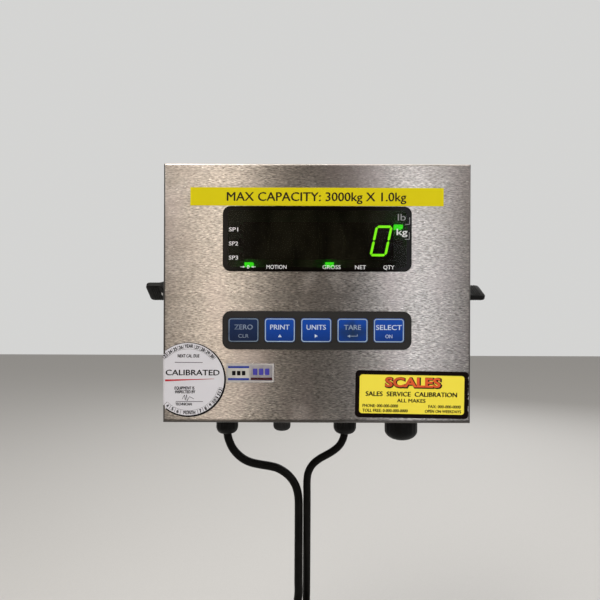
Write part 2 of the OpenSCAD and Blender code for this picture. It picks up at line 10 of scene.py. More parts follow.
import bmesh
import bpy
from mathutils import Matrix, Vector


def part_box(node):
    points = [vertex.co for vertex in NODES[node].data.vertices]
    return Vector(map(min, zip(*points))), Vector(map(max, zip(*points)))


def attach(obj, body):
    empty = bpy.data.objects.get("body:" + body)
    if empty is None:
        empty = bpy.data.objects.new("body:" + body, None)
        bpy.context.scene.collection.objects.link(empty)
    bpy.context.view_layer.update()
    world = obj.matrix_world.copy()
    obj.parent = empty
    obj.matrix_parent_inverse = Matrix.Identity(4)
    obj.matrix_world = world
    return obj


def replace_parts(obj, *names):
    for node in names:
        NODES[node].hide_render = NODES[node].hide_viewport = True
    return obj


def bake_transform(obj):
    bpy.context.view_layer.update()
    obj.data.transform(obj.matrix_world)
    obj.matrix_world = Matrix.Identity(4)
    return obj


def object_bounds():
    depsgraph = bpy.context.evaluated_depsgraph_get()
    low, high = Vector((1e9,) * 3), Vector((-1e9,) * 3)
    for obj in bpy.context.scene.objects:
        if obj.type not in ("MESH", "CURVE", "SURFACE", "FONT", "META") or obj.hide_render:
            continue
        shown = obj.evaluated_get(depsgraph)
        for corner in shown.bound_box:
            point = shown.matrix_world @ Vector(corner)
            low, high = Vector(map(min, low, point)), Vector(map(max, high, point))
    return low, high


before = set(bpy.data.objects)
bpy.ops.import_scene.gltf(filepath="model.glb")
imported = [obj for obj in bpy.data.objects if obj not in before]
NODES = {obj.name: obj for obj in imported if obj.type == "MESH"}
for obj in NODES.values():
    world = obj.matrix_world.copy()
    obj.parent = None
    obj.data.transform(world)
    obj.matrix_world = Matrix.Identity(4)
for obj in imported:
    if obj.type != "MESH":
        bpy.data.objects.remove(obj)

MM = 0.001
CAD_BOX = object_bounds()
FACE_LOW, FACE_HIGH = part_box("front_panel")
FACE_Y = FACE_LOW.y
FACE_Z = (FACE_LOW.z + FACE_HIGH.z) / 2
EMBED = 0.03            # how far a print reaches into what carries it, in millimetres
INK = 0.03              # how far a print stands proud, in millimetres


def link(obj):
    bpy.context.scene.collection.objects.link(obj)
    return obj


def middle_of(node):
    low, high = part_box(node)
    return (low + high) / 2


def polar(reach, degrees):
    angle = math.radians(degrees)
    return reach * math.cos(angle), reach * math.sin(angle)


# ---- Camera ----

camera = link(bpy.data.objects.new("camera", bpy.data.cameras.new("camera")))
camera.data.sensor_width = 36
camera.data.lens = 30.32
camera.location = (-0.0111, -0.448, -0.0059)
camera.rotation_euler = (math.radians(90), math.radians(-0.2), 0)
bpy.context.scene.camera = camera
bpy.context.scene.view_settings.view_transform = "Standard"


# ---- Shader building ----

def three(value):
    """Three numbers as they are, or one number three times."""
    return value if isinstance(value, (tuple, list)) else (value,) * 3


class Nodes:
    """Short ways to add nodes to a tree and to feed their sockets."""

    def __init__(self, tree):
        self.tree = tree

    def feed(self, node, socket, value):
        """Links an output to a socket, or sets the socket to a constant."""
        entry = node.inputs[socket]
        if isinstance(value, bpy.types.NodeSocket):
            self.tree.links.new(value, entry)
        elif isinstance(value, (tuple, list)) and entry.type == "RGBA":
            entry.default_value = (*value[:3], 1)
        else:
            entry.default_value = value

    def node(self, kind, inputs=None, out=0, **settings):
        """Adds a node and gives one of its outputs, or all of them when out is None."""
        node = self.tree.nodes.new("ShaderNode" + kind)
        for key, value in settings.items():
            setattr(node, key, value)
        for socket, value in (inputs or {}).items():
            self.feed(node, socket, value)
        return node.outputs if out is None else node.outputs[out]

    def split(self, vector):
        """The X, Y and Z of a vector."""
        return self.node("SeparateXYZ", {"Vector": vector}, None)

    def ramp(self, value, low, high, start=0.0, end=1.0, **settings):
        """Value mapped from low..high to start..end, and held there."""
        return self.node("MapRange", {"Value": value, "From Min": low, "From Max": high,
                                      "To Min": start, "To Max": end}, **settings)

    def math(self, operation, a, b=0.0):
        return self.node("Math", {0: a, 1: b}, operation=operation)

    def mix(self, factor, a, b):
        return self.node("Mix", {0: factor, 6: a, 7: b}, 2, data_type="RGBA")


class Shader(Nodes):
    """A Principled material."""

    def __init__(self, name, **sockets):
        self.material = bpy.data.materials.new(name)
        self.material.use_nodes = True
        super().__init__(self.material.node_tree)
        self.finish(**sockets)

    def noise(self, stretch, detail=3.0, rough=0.5):
        """Noise in object coordinates, as fine along each axis as stretch says."""
        coords = self.node("TexCoord", out="Object")
        place = self.node("Mapping", {"Vector": coords, "Scale": three(stretch)})
        return self.node("TexNoise", {"Vector": place, "Scale": 1.0, "Detail": detail, "Roughness": rough})

    def bump(self, height, strength, depth, **under):
        return self.node("Bump", {"Height": height, "Strength": strength, "Distance": depth, **under})

    def finish(self, **sockets):
        """Feeds the Principled node's sockets."""
        for socket, value in sockets.items():
            self.feed(self.tree.nodes["Principled BSDF"], socket.replace("_", " "), value)
        return self.material


def scaled(color, factor):
    """A colour times a number, or times one number for each channel, at most 1."""
    return [min(c * f, 1) for c, f in zip(color, three(factor))]


# ---- Materials ----

def node_mask(s, node, inset_w, inset_h, corner, soft, lift=0.0):
    """1 inside a rounded rectangle that is a node's front less an inset on each side, 0 outside it."""
    low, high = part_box(node)
    x, _, z = s.split(s.node("TexCoord", out="Object"))
    past = []
    for place, start, end, inset in ((x, low.x, high.x, inset_w), (z, low.z + lift, high.z + lift, inset_h)):
        away = s.math("ABSOLUTE", s.math("SUBTRACT", place, (start + end) / 2))
        past.append(s.math("MAXIMUM", s.math("SUBTRACT", away, (end - start) / 2 - inset - corner), 0.0))
    out = s.node("CombineXYZ", {"X": past[0], "Y": past[1]})
    length = s.node("VectorMath", {0: out}, "Value", operation="LENGTH")
    return s.ramp(length, corner - soft, corner + soft, 1.0, 0.0)


def brushed_steel(name, tint, rough, grain=1.0, lines=0.0, painted_glints=0.0, painted_shade_rim=None):
    """Sheet steel brushed across its width, with the grain running on round the folds.

    painted_shade_rim names the node whose front gets painted shade: a dark edge along its sides and its
    bottom.
    """
    s = Shader(name, Metallic=1.0, Anisotropic=0.80)
    turned = s.split(s.node("NewGeometry", out="Normal"))
    across = s.node("CombineXYZ", {"Y": turned[2], "Z": s.math("SUBTRACT", 0.05, turned[1])})
    own = s.split(s.node("TexCoord", out="Normal"))
    aside, ahead, upright = [s.math("ABSOLUTE", part) for part in own]
    facing_side = s.math("GREATER_THAN", aside, 0.7)

    def brushing(along, thick, up, detail, rough):
        """Noise drawn out across the sheet's width, and across its depth on the sides."""
        return s.mix(facing_side, s.noise((along, thick, up), detail, rough),
                     s.noise((thick, along, up), detail, rough))

    fine = brushing(400, 1900, 1900, 2, 0.6)
    streak = brushing(60, 900, 1000, 3, 0.65)
    cloud = s.noise((13, 13, 9), 4, 0.55)
    heat = s.noise((24, 24, 11), 3, 0.6)
    smudge = s.ramp(s.noise((30, 30, 24), 5, 0.65), 0.52, 0.72)
    shade = s.mix(s.ramp(streak, 0.35, 0.65), scaled(tint, 0.82), scaled(tint, 1.10))
    front = s.ramp(ahead, 0.80, 0.95)
    squarely = s.math("MAXIMUM", s.math("MAXIMUM", aside, ahead), upright)
    coarse = s.math("MULTIPLY", s.ramp(fine, 0.34, 0.66, 0, grain), s.ramp(front, 0, 1, 0.35, 1))
    shade = s.mix(coarse, s.mix(0.6, shade, scaled(tint, 1.30)), scaled(tint, 0.27))
    long = brushing(7, 420, 420, 4, 0.7)
    drawn = s.math("MULTIPLY", s.ramp(long, 0.42, 0.62, 0, lines), s.ramp(front, 0, 1, 1.6, 1))
    shade = s.mix(drawn, shade, scaled(tint, 0.55))
    shade = s.mix(s.ramp(cloud, 0.35, 0.7, 0, 0.35), shade, scaled(tint, (0.76, 0.69, 0.64)))
    shade = s.mix(s.ramp(heat, 0.50, 0.68, 0, 0.45), shade, scaled(tint, (0.84, 0.77, 0.80)))
    # Painted glints: small random spots on front-facing steel made brighter in the base colour.
    speck = s.ramp(s.noise((420, 900, 1300), 1, 0.4), 0.71, 0.75)
    glint = s.math("MULTIPLY", s.math("MULTIPLY", speck, painted_glints), front)
    shade = s.mix(glint, shade, scaled(tint, 1.5))
    sheen = s.mix(0.5, fine, smudge)
    roughness = s.ramp(sheen, 0.25, 0.75, rough - 0.04, rough + 0.07)
    # Painted shade on the folds: where the surface turns between its main faces the colour is darkened, fully
    # on folds facing down or sideways and only a little on folds facing up.
    grime_and_painted_shade = s.math("MULTIPLY", s.ramp(squarely, 0.90, 0.99, 0.85, 0), s.ramp(own[2], 0.1, 0.3, 1, 0.15))
    shade = s.mix(grime_and_painted_shade, shade, scaled(tint, 0.10))
    # Painted shade: a dark band along the sides and the bottom of the named node's front, none along the top.
    if painted_shade_rim:
        inner = node_mask(s, painted_shade_rim, 1.2 * MM, 1.0 * MM, 0.6 * MM, 0.5 * MM, 1.3 * MM)
        rim = s.math("MULTIPLY", s.math("SUBTRACT", 1.0, inner), s.ramp(ahead, 0.2, 0.6, 0, 0.85))
        shade = s.mix(rim, shade, scaled(tint, 0.12))
    bump = s.bump(s.mix(0.3, fine, streak), 1.0 * grain, 0.09 * MM)
    return s.finish(Base_Color=shade, Roughness=roughness, Tangent=across, Normal=bump)


def plastic(name, color, rough, grain=2400, depth=0.015, dust=0.0, worn=None, shine=0.35):
    """Moulded or printed plastic with a fine surface, uneven sheen and a little dust."""
    s = Shader(name, Specular_IOR_Level=shine)
    cloud = s.noise(45, 4, 0.6)
    fine = s.noise(grain, 2, 0.5)
    shade = s.mix(s.ramp(cloud, 0.3, 0.7), scaled(color, 0.82), scaled(color, 1.18))
    if dust:
        speck = s.ramp(s.noise(700, 3, 0.7), 0.60, 0.74, 0, dust)
        shade = s.mix(speck, shade, (0.42, 0.39, 0.34))
    if worn:
        patch = s.ramp(s.noise((120, 120, 160), 5, 0.7), 0.52, 0.70, 0, 0.75)
        shade = s.mix(patch, shade, worn)
    roughness = s.ramp(s.mix(0.5, fine, cloud), 0.3, 0.7, rough - 0.06, rough + 0.08)
    bump = s.bump(fine, 0.5, depth * MM)
    return s.finish(Base_Color=shade, Roughness=roughness, Normal=bump)


def key_blue(name, color, rubbed=0.0):
    """Printed key film: the blue is lighter at the top of the key and darker towards the bottom.

    rubbed darkens the middle of the key, where fingers press it.
    """
    s = Shader(name, Specular_IOR_Level=0.2, Roughness=0.38)
    x, _, z = s.split(s.node("TexCoord", out="Generated"))
    wear = s.noise(180, 4, 0.6)
    # Lighter towards the top of the key and darker towards the bottom, broken up a little by noise.
    lighter_upwards = s.ramp(s.mix(0.25, z, wear), 0.05, 0.85)
    shade = s.mix(lighter_upwards, scaled(color, 0.50), scaled(color, 1.12))
    across = s.math("ABSOLUTE", s.math("SUBTRACT", x, 0.5))
    above = s.math("ABSOLUTE", s.math("SUBTRACT", z, 0.42))
    thumb = s.ramp(s.mix(0.35, s.math("ADD", across, above), wear), 0.20, 0.62, rubbed, 0)
    shade = s.mix(thumb, shade, (0.010, 0.026, 0.045))
    fine = s.noise(2600, 2, 0.5)
    return s.finish(Base_Color=shade, Normal=s.bump(fine, 0.4, 0.012 * MM))


def metal(name, color, rough, ring_axis=2, lines=2600):
    """Turned metal: fine rings across one axis, and a few darker stains."""
    s = Shader(name, Metallic=1.0)
    stretch = [140, 140, 140]
    stretch[ring_axis] = lines
    rings = s.noise(stretch, 2, 0.5)
    stain = s.noise(160, 5, 0.65)
    shade = s.mix(s.ramp(stain, 0.45, 0.75), color, scaled(color, 0.6))
    roughness = s.ramp(s.mix(0.4, rings, stain), 0.3, 0.7, rough - 0.05, rough + 0.12)
    return s.finish(Base_Color=shade, Roughness=roughness, Normal=s.bump(rings, 0.35, 0.02 * MM))


def glowing(name, color, strength):
    """A lit plastic light pipe, its glow varied a little by the noise of its moulding."""
    s = Shader(name, Roughness=0.4)
    cloud = s.noise(600, 2, 0.5)
    shade = s.mix(s.ramp(cloud, 0.3, 0.7), scaled(color, 0.85), color)
    return s.finish(Base_Color=shade, Emission_Color=shade, Emission_Strength=strength)


def circuit_board(name):
    """Green solder mask with copper tracks under it."""
    s = Shader(name, Roughness=0.35, Specular_IOR_Level=0.5)
    coords = s.node("TexCoord", out="Object")
    place = s.node("Mapping", {"Vector": coords, "Scale": (130, 130, 130)})
    tracks = s.node("TexBrick", {"Vector": place, "Color1": (0.010, 0.085, 0.030),
                                 "Color2": (0.012, 0.105, 0.036), "Mortar": (0.022, 0.17, 0.06),
                                 "Scale": 1.0, "Mortar Size": 0.05})
    grain = s.noise(500, 3, 0.6)
    return s.finish(Base_Color=s.mix(s.ramp(grain, 0.3, 0.7, 0, 0.3), tracks, (0.006, 0.05, 0.02)),
                    Normal=s.bump(grain, 0.3, 0.03 * MM))


def window_film():
    """Smoked film: solid black round the edge, see-through over the digits."""
    s = Shader("window_film_look", Specular_IOR_Level=0.10)
    clear = node_mask(s, "display_window", 3.2 * MM, 2.7 * MM, 3 * MM, 0.1 * MM)
    smear = s.noise((60, 60, 25), 5, 0.7)
    roughness = s.ramp(smear, 0.4, 0.75, 0.10, 0.22)
    ripple = s.noise(18, 2, 0.5)
    film = s.math("MULTIPLY", s.ramp(smear, 0.35, 0.62), clear)
    shade = s.mix(film, (0.0030, 0.0024, 0.0016), (0.0120, 0.0110, 0.0058))
    return s.finish(Base_Color=shade, Alpha=s.ramp(clear, 0, 1, 1.0, 0.64), Roughness=roughness,
                    Normal=s.bump(ripple, 0.25, 0.2 * MM))


def jacket(name, color, rough):
    """Extruded cable jacket: faint lengthwise streaks, handling marks and dust."""
    s = Shader(name, Specular_IOR_Level=0.09)
    streak = s.noise((900, 900, 120), 3, 0.6)
    marks = s.noise(110, 5, 0.7)
    shade = s.mix(s.ramp(marks, 0.45, 0.72), color, [c * 2.0 + 0.0015 for c in color])
    roughness = s.ramp(s.mix(0.5, streak, marks), 0.3, 0.7, rough - 0.08, rough + 0.12)
    return s.finish(Base_Color=shade, Roughness=roughness, Normal=s.bump(streak, 0.4, 0.03 * MM))


def sticker_vinyl(name, color, rough, stain=(0.55, 0.5, 0.42), shine=0.3):
    """Printed vinyl or paper label with faint ripples and grime."""
    s = Shader(name, Specular_IOR_Level=shine)
    grime_and_painted_shade = s.noise(55, 5, 0.65)
    fine = s.noise(1600, 2, 0.5)
    shade = s.mix(s.ramp(grime_and_painted_shade, 0.5, 0.8, 0, 0.25), color, scaled(color, stain))
    ripple = s.noise((40, 40, 25), 2, 0.5)
    bump = s.bump(fine, 0.3, 0.01 * MM, Normal=s.bump(ripple, 0.35, 0.15 * MM))
    return s.finish(Base_Color=shade, Roughness=s.ramp(grime_and_painted_shade, 0.3, 0.7, rough, rough + 0.12), Normal=bump)


def chipped_border(name, color, node):
    """Black printed border whose outer edge has chipped to pale paper along the right side."""
    s = Shader(name, Specular_IOR_Level=0.08, Roughness=0.36)
    wear = s.ramp(s.noise((260, 260, 420), 4, 0.65), 0.53, 0.60)
    inner = node_mask(s, node, 0.55 * MM, 0.55 * MM, 2.4 * MM, 0.4 * MM)
    x = s.split(s.node("TexCoord", out="Object"))[0]
    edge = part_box(node)[1].x
    right = s.ramp(x, edge - 9 * MM, edge - 2 * MM)
    chips = s.math("MULTIPLY", s.math("MULTIPLY", wear, right), s.math("SUBTRACT", 1.0, inner))
    fine = s.noise(1400, 2, 0.5)
    return s.finish(Base_Color=s.mix(chips, color, (0.78, 0.76, 0.73)), Normal=s.bump(fine, 0.5, 0.02 * MM))


GLAND = plastic("gland_look", (0.0038, 0.0036, 0.0032), 0.46, 2200, 0.03, dust=0.02, shine=0.17)
KNOB = plastic("knob_look", (0.0035, 0.0033, 0.003), 0.52, 1800, 0.04, dust=0.02, shine=0.16)
JACKET = jacket("jacket_look", (0.0028, 0.0024, 0.0020), 0.50)
PLUG = plastic("plug_look", (0.008, 0.008, 0.008), 0.50, 1800, 0.04, dust=0.05, shine=0.25)
NYLON = plastic("nylon_look", (0.008, 0.008, 0.008), 0.38)
BRASS = metal("brass_look", (0.72, 0.56, 0.24), 0.28)
NICKEL = metal("nickel_look", (0.52, 0.51, 0.49), 0.30)
KEY_BORDER = plastic("key_border_look", (0.33, 0.44, 0.56), 0.40, 2600, 0.01)
KEY_BORDER_DULL = plastic("key_border_dull_look", (0.17, 0.23, 0.30), 0.42, 2600, 0.01,
                          worn=(0.03, 0.06, 0.12))
KEY_PRINT = plastic("key_print_look", (0.52, 0.60, 0.74), 0.40, 2600, 0.01)
KEY_PRINT_RUBBED = plastic("key_print_rubbed_look", (0.30, 0.38, 0.50), 0.42, 2600, 0.01,
                           worn=(0.02, 0.05, 0.12))
KEY_PRINT_DULL = plastic("key_print_dull_look", (0.22, 0.27, 0.36), 0.42, 2600, 0.01, worn=(0.03, 0.06, 0.14))
BLACK_INK = plastic("black_ink_look", (0.006, 0.005, 0.006), 0.45, shine=0.15)
LABEL_YELLOW = sticker_vinyl("label_yellow_look", (0.95, 0.80, 0.070), 0.36, (0.9, 0.85, 0.6), 0.2)
BADGE_BLUE = plastic("badge_blue_look", (0.008, 0.035, 0.33), 0.30)
BADGE_VIOLET = plastic("badge_violet_look", (0.055, 0.050, 0.36), 0.30)
BADGE_DARK = plastic("badge_dark_look", (0.045, 0.005, 0.010), 0.30)
BADGE_PALE = plastic("badge_pale_look", (0.62, 0.60, 0.55), 0.32)

LOOKS = {
    "front_panel": brushed_steel("panel_steel", (0.70, 0.655, 0.61), 0.32, 1.0, 0.40, 0.8, "front_panel"),
    "rear_housing": brushed_steel("housing_steel", (0.66, 0.635, 0.61), 0.38, 0.5, 0.40),
    "yoke_bracket": brushed_steel("yoke_steel", (0.68, 0.665, 0.645), 0.34, 0.5, 0.34),
    "panel_screws display_studs display_nuts board_standoffs board_screws keypad_domes":
        metal("bright_steel_look", (0.66, 0.66, 0.65), 0.24),
    "pivot_bushes knob_left_stud knob_right_stud":
        metal("turned_steel_look", (0.64, 0.64, 0.63), 0.24, ring_axis=0),
    "ground_stud": BRASS, "gland_lock_nuts": GLAND, "inner_leads": JACKET, "display_window": window_film(),
    "friction_washers panel_gasket gland_seals":
        plastic("rubber_look", (0.012, 0.012, 0.012), 0.68, 1600, 0.04, dust=0.06, shine=0.25),
    "digit_blocks": plastic("digit_block_look", (0.006, 0.006, 0.006), 0.55, shine=0.15),
    "digit_segments_lit": glowing("segment_lit_look", (0.24, 1.0, 0.012), 7.0),
    "annunciators_lit": glowing("lamp_lit_look", (0.05, 1.0, 0.012), 5.4),
    "digit_segments_unlit annunciators_unlit":
        plastic("segment_off_look", (0.012, 0.013, 0.011), 0.5, shine=0.15),
    "keypad_overlay keypad_circuit":
        plastic("strip_look", (0.020, 0.019, 0.018), 0.45, 2600, 0.02, shine=0.25),
    "key_print key_units key_select": key_blue("key_look", (0.004, 0.058, 0.36)),
    "key_tare": key_blue("key_rubbed_look", (0.004, 0.055, 0.33), rubbed=0.9),
    "key_zero": key_blue("key_faded_look", (0.007, 0.022, 0.080)),
    "main_board display_board": circuit_board("circuit_board_look"),
    "board_chips": plastic("chip_look", (0.014, 0.014, 0.015), 0.45),
    "board_capacitors": plastic("sleeve_look", (0.025, 0.045, 0.13), 0.30),
    "cell_terminal mains_terminal": plastic("terminal_look", (0.05, 0.25, 0.08), 0.42),
    "fuse_holder": plastic("fuse_look", (0.66, 0.64, 0.57), 0.30),
    "transformer": plastic("transformer_look", (0.11, 0.12, 0.14), 0.45, 900, 0.08),
    "ribbon_cable": plastic("flat_cable_look", (0.33, 0.35, 0.38), 0.45),
    "keypad_tail": plastic("flex_look", (0.42, 0.22, 0.04), 0.30),
    "capacity_tape": sticker_vinyl("tape_look", (0.70, 0.60, 0.004), 0.40, (0.9, 0.85, 0.6), 0.12),
    "calibration_sticker": sticker_vinyl("sticker_look", (0.70, 0.69, 0.73), 0.38, (0.85, 0.82, 0.78)),
    "maker_badge": metal("badge_look", (0.55, 0.54, 0.60), 0.34, ring_axis=2, lines=1800),
    "dealer_label": chipped_border("label_black_look", (0.0045, 0.0018, 0.0014), "dealer_label"),
}

for names, look in LOOKS.items():
    for node in names.split():
        materials = NODES[node].data.materials
        for index in range(len(materials)):
            materials[index] = look


# ---- CAD nodes: rounded edges and smooth shading ----

def add_modifier(obj, kind, **settings):
    modifier = obj.modifiers.new(kind.lower(), kind)
    for key, value in settings.items():
        setattr(modifier, key, value)


def soften(node, width):
    """Rounds a CAD node's sharp edges and smooths its round faces, in modifiers only."""
    obj = NODES[node]
    custom = obj.data.attributes.get("custom_normal")
    if custom:
        obj.data.attributes.remove(custom)
    obj.data.shade_smooth()
    add_modifier(obj, "WELD", merge_threshold=0.002 * MM)
    if width:
        add_modifier(obj, "DECIMATE", decimate_type="DISSOLVE", angle_limit=math.radians(0.5))
        add_modifier(obj, "BEVEL", width=width, segments=2, limit_method="ANGLE",
                     angle_limit=math.radians(50), miter_outer="MITER_ARC")
    add_modifier(obj, "EDGE_SPLIT", split_angle=math.radians(34), use_edge_sharp=False)
    add_modifier(obj, "WEIGHTED_NORMAL")


# Radii in millimetres of the edges that are rounded
ROUNDED = {
    0.06: "display_window", 0.1: "keypad_overlay", 0.15: "board_chips", 0.2: "friction_washers",
    0.12: "maker_badge key_zero key_print key_units key_tare key_select",
    0.25: "front_panel rear_housing pivot_bushes panel_screws cell_terminal mains_terminal",
    0.3: "ground_stud gland_lock_nuts fuse_holder", 0.35: "yoke_bracket knob_left_stud knob_right_stud",
    0.4: "board_capacitors", 0.5: "transformer",
}
RADII = {node: radius for radius, names in ROUNDED.items() for node in names.split()}
for node in NODES:
    soften(node, RADII.get(node, 0) * MM)


# ---- Mesh helpers ----

class Solid:
    """Collects closed shapes into one mesh."""

    def __init__(self):
        self.points = []
        self.faces = []

    def add(self, points, faces):
        start = len(self.points)
        self.points += [tuple(p) for p in points]
        self.faces += [tuple(start + i for i in face) for face in faces]

    def stack(self, rings, ends=True):
        """Joins rings of the same number of points, and closes it by flat ends or round to the first."""
        count = len(rings[0])
        total = len(rings)
        faces = []
        for a in range(total - 1 if ends else total):
            b = (a + 1) % total
            for i in range(count):
                j = (i + 1) % count
                faces.append((a * count + i, a * count + j, b * count + j, b * count + i))
        if ends:
            faces.append(tuple(range(count))[::-1])
            faces.append(tuple((total - 1) * count + i for i in range(count)))
        self.add([p for ring in rings for p in ring], faces)

    def object(self, name, material, body=None, slot=None, smooth=True):
        """The finished mesh, riding on a body where one is named; slot is not used."""
        mesh = bpy.data.meshes.new(name)
        mesh.from_pydata(self.points, [], self.faces)
        mesh.materials.append(material)
        mesh.update()
        bm = bmesh.new()
        bm.from_mesh(mesh)
        bmesh.ops.recalc_face_normals(bm, faces=bm.faces)
        bm.to_mesh(mesh)
        bm.free()
        if smooth:
            mesh.shade_smooth()
            mesh.set_sharp_from_angle(angle=math.radians(38))
        obj = link(bpy.data.objects.new(name, mesh))
        if body:
            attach(obj, body)
        return obj


def round_rect(w, h, r, steps=6):
    """Outline of a rectangle with round corners, round the origin."""
    w, h = w / 2 - r, h / 2 - r
    outline = []
    for x, z, start in ((w, h, 0), (-w, h, 90), (-w, -h, 180), (w, -h, 270)):
        for i in range(steps + 1):
            u, v = polar(r, start + 90 * i / steps)
            outline.append((x + u, z + v))
    return outline


class Print:
    """Flat ink shapes that lie on a face of the object, in millimetres."""

    def __init__(self, out=0.0, turn=0.0, middle=(0, 0)):
        self.solid = Solid()
        self.out = out
        self.across = polar(1, turn)
        self.middle = middle

    def spot(self, x, z, out):
        """A point on the face, out towards the viewer."""
        cos, sin = self.across
        u = x * cos - z * sin + self.middle[0]
        w = x * sin + z * cos + self.middle[1]
        return Vector((u * MM, FACE_Y - (self.out + out) * MM, FACE_Z + w * MM))

    def loop(self, outline, out, x, z):
        return [self.spot(x + u, z + w, out) for u, w in outline]

    def shape(self, outline, x=0.0, z=0.0):
        self.solid.stack([self.loop(outline, out, x, z) for out in (-EMBED, INK)])

    def ring(self, outer, inner, x=0.0, z=0.0):
        """A band between two outlines with as many points as each other."""
        lines = ((outer, -EMBED), (outer, INK), (inner, INK), (inner, -EMBED))
        self.solid.stack([self.loop(line, out, x, z) for line, out in lines], ends=False)

    def bar(self, x, z, w, h, r=0.0):
        if r:
            self.shape(round_rect(w, h, r, 3), x, z)
        else:
            self.shape([(w / 2, h / 2), (-w / 2, h / 2), (-w / 2, -h / 2), (w / 2, -h / 2)], x, z)

    def text(self, words, x, z, cap, width=0.0, bold=0.0, swell=0.0, spin=0.0):
        """Words whose capitals are cap high, with their middle at x, z; width stretches them to fit.

        Bold words are struck twice, bold times the capital height to each side. swell thickens the
        strokes themselves, which suits letters without sharp corners.
        """
        points, faces = glyphs(words, swell)
        low = min(p[0] for p in points)
        high = max(p[0] for p in points)
        up = cap / cap_height()
        across = width / (high - low) if width else up
        cos, sin = polar(1, spin)
        strikes = ((-bold * cap, 1.0), (bold * cap, 0.7)) if bold else ((0.0, 1.0),)
        for shift, thickness in strikes:
            placed = []
            for px, pz, back in points:
                u = (px - (low + high) / 2) * across + shift
                w = (pz - cap_height() / 2) * up + 0.5 * shift
                out = (-EMBED if back else INK) * thickness
                placed.append(self.spot(x + u * cos - w * sin, z + u * sin + w * cos, out))
            self.solid.add(placed, faces)

    def object(self, name, material, body="head"):
        return self.solid.object(name, material, body, smooth=False)


@functools.cache
def glyphs(words, swell=0.0):
    """Points (x, z, is it at the back) and faces of some words at size 1."""
    curve = bpy.data.curves.new("words", "FONT")
    curve.body = words
    curve.extrude = 0.5
    curve.offset = swell
    curve.resolution_u = 3
    obj = link(bpy.data.objects.new("words", curve))
    mesh = bpy.data.meshes.new_from_object(obj.evaluated_get(bpy.context.evaluated_depsgraph_get()))
    bm = bmesh.new()
    bm.from_mesh(mesh)
    bmesh.ops.remove_doubles(bm, verts=bm.verts, dist=0.0005)
    points = [(v.co.x, v.co.y, v.co.z < 0) for v in bm.verts]
    faces = [tuple(v.index for v in f.verts) for f in bm.faces]
    bm.free()
    bpy.data.objects.remove(obj)
    bpy.data.curves.remove(curve)
    bpy.data.meshes.remove(mesh)
    return points, faces


def cap_height():
    return max(p[1] for p in glyphs("H")[0])


# ---- Cords ----

POWER_D = 6.0 * MM
CELL_D = 5.5 * MM
CABLE_START = -90

POWER_ROUTE = [
    (-64, -78, CABLE_START), (-64, -78, -95.5), (-64, -78, -101), (-63.1, -78, -107.5),
    (-59.5, -78, -115.3), (-53.3, -78, -121.5), (-46.7, -78, -124.8), (-39.5, -78, -126.4),
    (-32.2, -78, -127.6), (-25.9, -78, -129.5), (-18.8, -78, -134.5), (-13.9, -78, -141.6),
    (-11.8, -78, -150), (-11.5, -78, -160.5), (-11.5, -78.5, -171), (-11.5, -80.5, -183),
    (-11.5, -83, -195.5), (-11.5, -84.5, -207.5), (-11.5, -85, -217.6),
    (-13.4, -85, -227), (-18.8, -85, -234.9), (-26.9, -85, -240),
]
CELL_ROUTE = [
    (22, -78, CABLE_START), (22, -78, -95.5), (22, -78, -101), (20.9, -78, -107.2), (17.8, -78, -112.6),
    (13, -78, -116.6), (8.3, -78, -119.4), (3.5, -78, -122.1), (-1.3, -78, -126.1), (-4.4, -78, -131.5),
    (-5.5, -78, -138), (-5.5, -78, -149), (-5.5, -78, -160.5), (-5.5, -77.5, -172.5), (-5.5, -76.5, -186),
    (-5.5, -75, -200), (-5.5, -73.5, -212), (-5.5, -72.5, -222), (-5.5, -72.5, -230.6),
    (-3.6, -72.5, -240), (1.8, -72.5, -247.9), (9.9, -72.5, -253),
]
POWER_TAIL = [(-55.5, -96.5, -293), (-55.5, -96.5, -306), (-55.5, -96.5, -318)]
CELL_TAIL = [(36, -57, -305), (36, -57, -317), (36, -57, -327)]


def metres(route):
    return [Vector(p) * MM for p in route]


def smooth_route(points):
    """Catmull-Rom curve through the points."""
    out = []
    for i in range(len(points) - 1):
        a, b = points[max(i - 1, 0)], points[i]
        c, d = points[i + 1], points[min(i + 2, len(points) - 1)]
        for j in range(ROUTE_STEPS):
            t = j / ROUTE_STEPS
            out.append(0.5 * (2 * b + (c - a) * t + (2 * a - 5 * b + 4 * c - d) * t ** 2
                              + (3 * b - a - 3 * c + d) * t ** 3))
    return out + [points[-1]]


def ease(t):
    return 0.5 - 0.5 * math.cos(math.pi * min(max(t, 0.0), 1.0))


def wound(centre, radius, lead, spots, enter, leave, way):
    """Centreline of a coil that faces the viewer.

    Each turn lies on one of the spots (out from the ring, towards the wall) of the bundle. Before
    the angle where the cord enters, the strands move over by one spot, the last strand first, so
    the next spot is always empty. enter and leave are angles round the ring; way is 1 or -1.
    """
    turns = len(spots) - 1 + ((leave - enter) * way % 360) / 360
    steps = int(turns * STEPS_PER_TURN)
    line = []
    for n in range(steps + 1):
        done = n / steps * turns
        turn = min(int(done), len(spots) - 1)
        following = min(turn + 1, len(spots) - 1)
        left = (turn + 1 - done) * 360
        shift = ease((MOVE + STAGGER * turn - left) / MOVE)
        settle = 1 - ease(done * 360 / MOVE)
        out, back = [spots[turn][i] + (spots[following][i] - spots[turn][i]) * shift
                     + (lead[i] - spots[0][i]) * settle for i in (0, 1)]
        x, z = polar(radius + out, enter + way * done * 360)
        line.append(centre + Vector((x, back, z)))
    return line


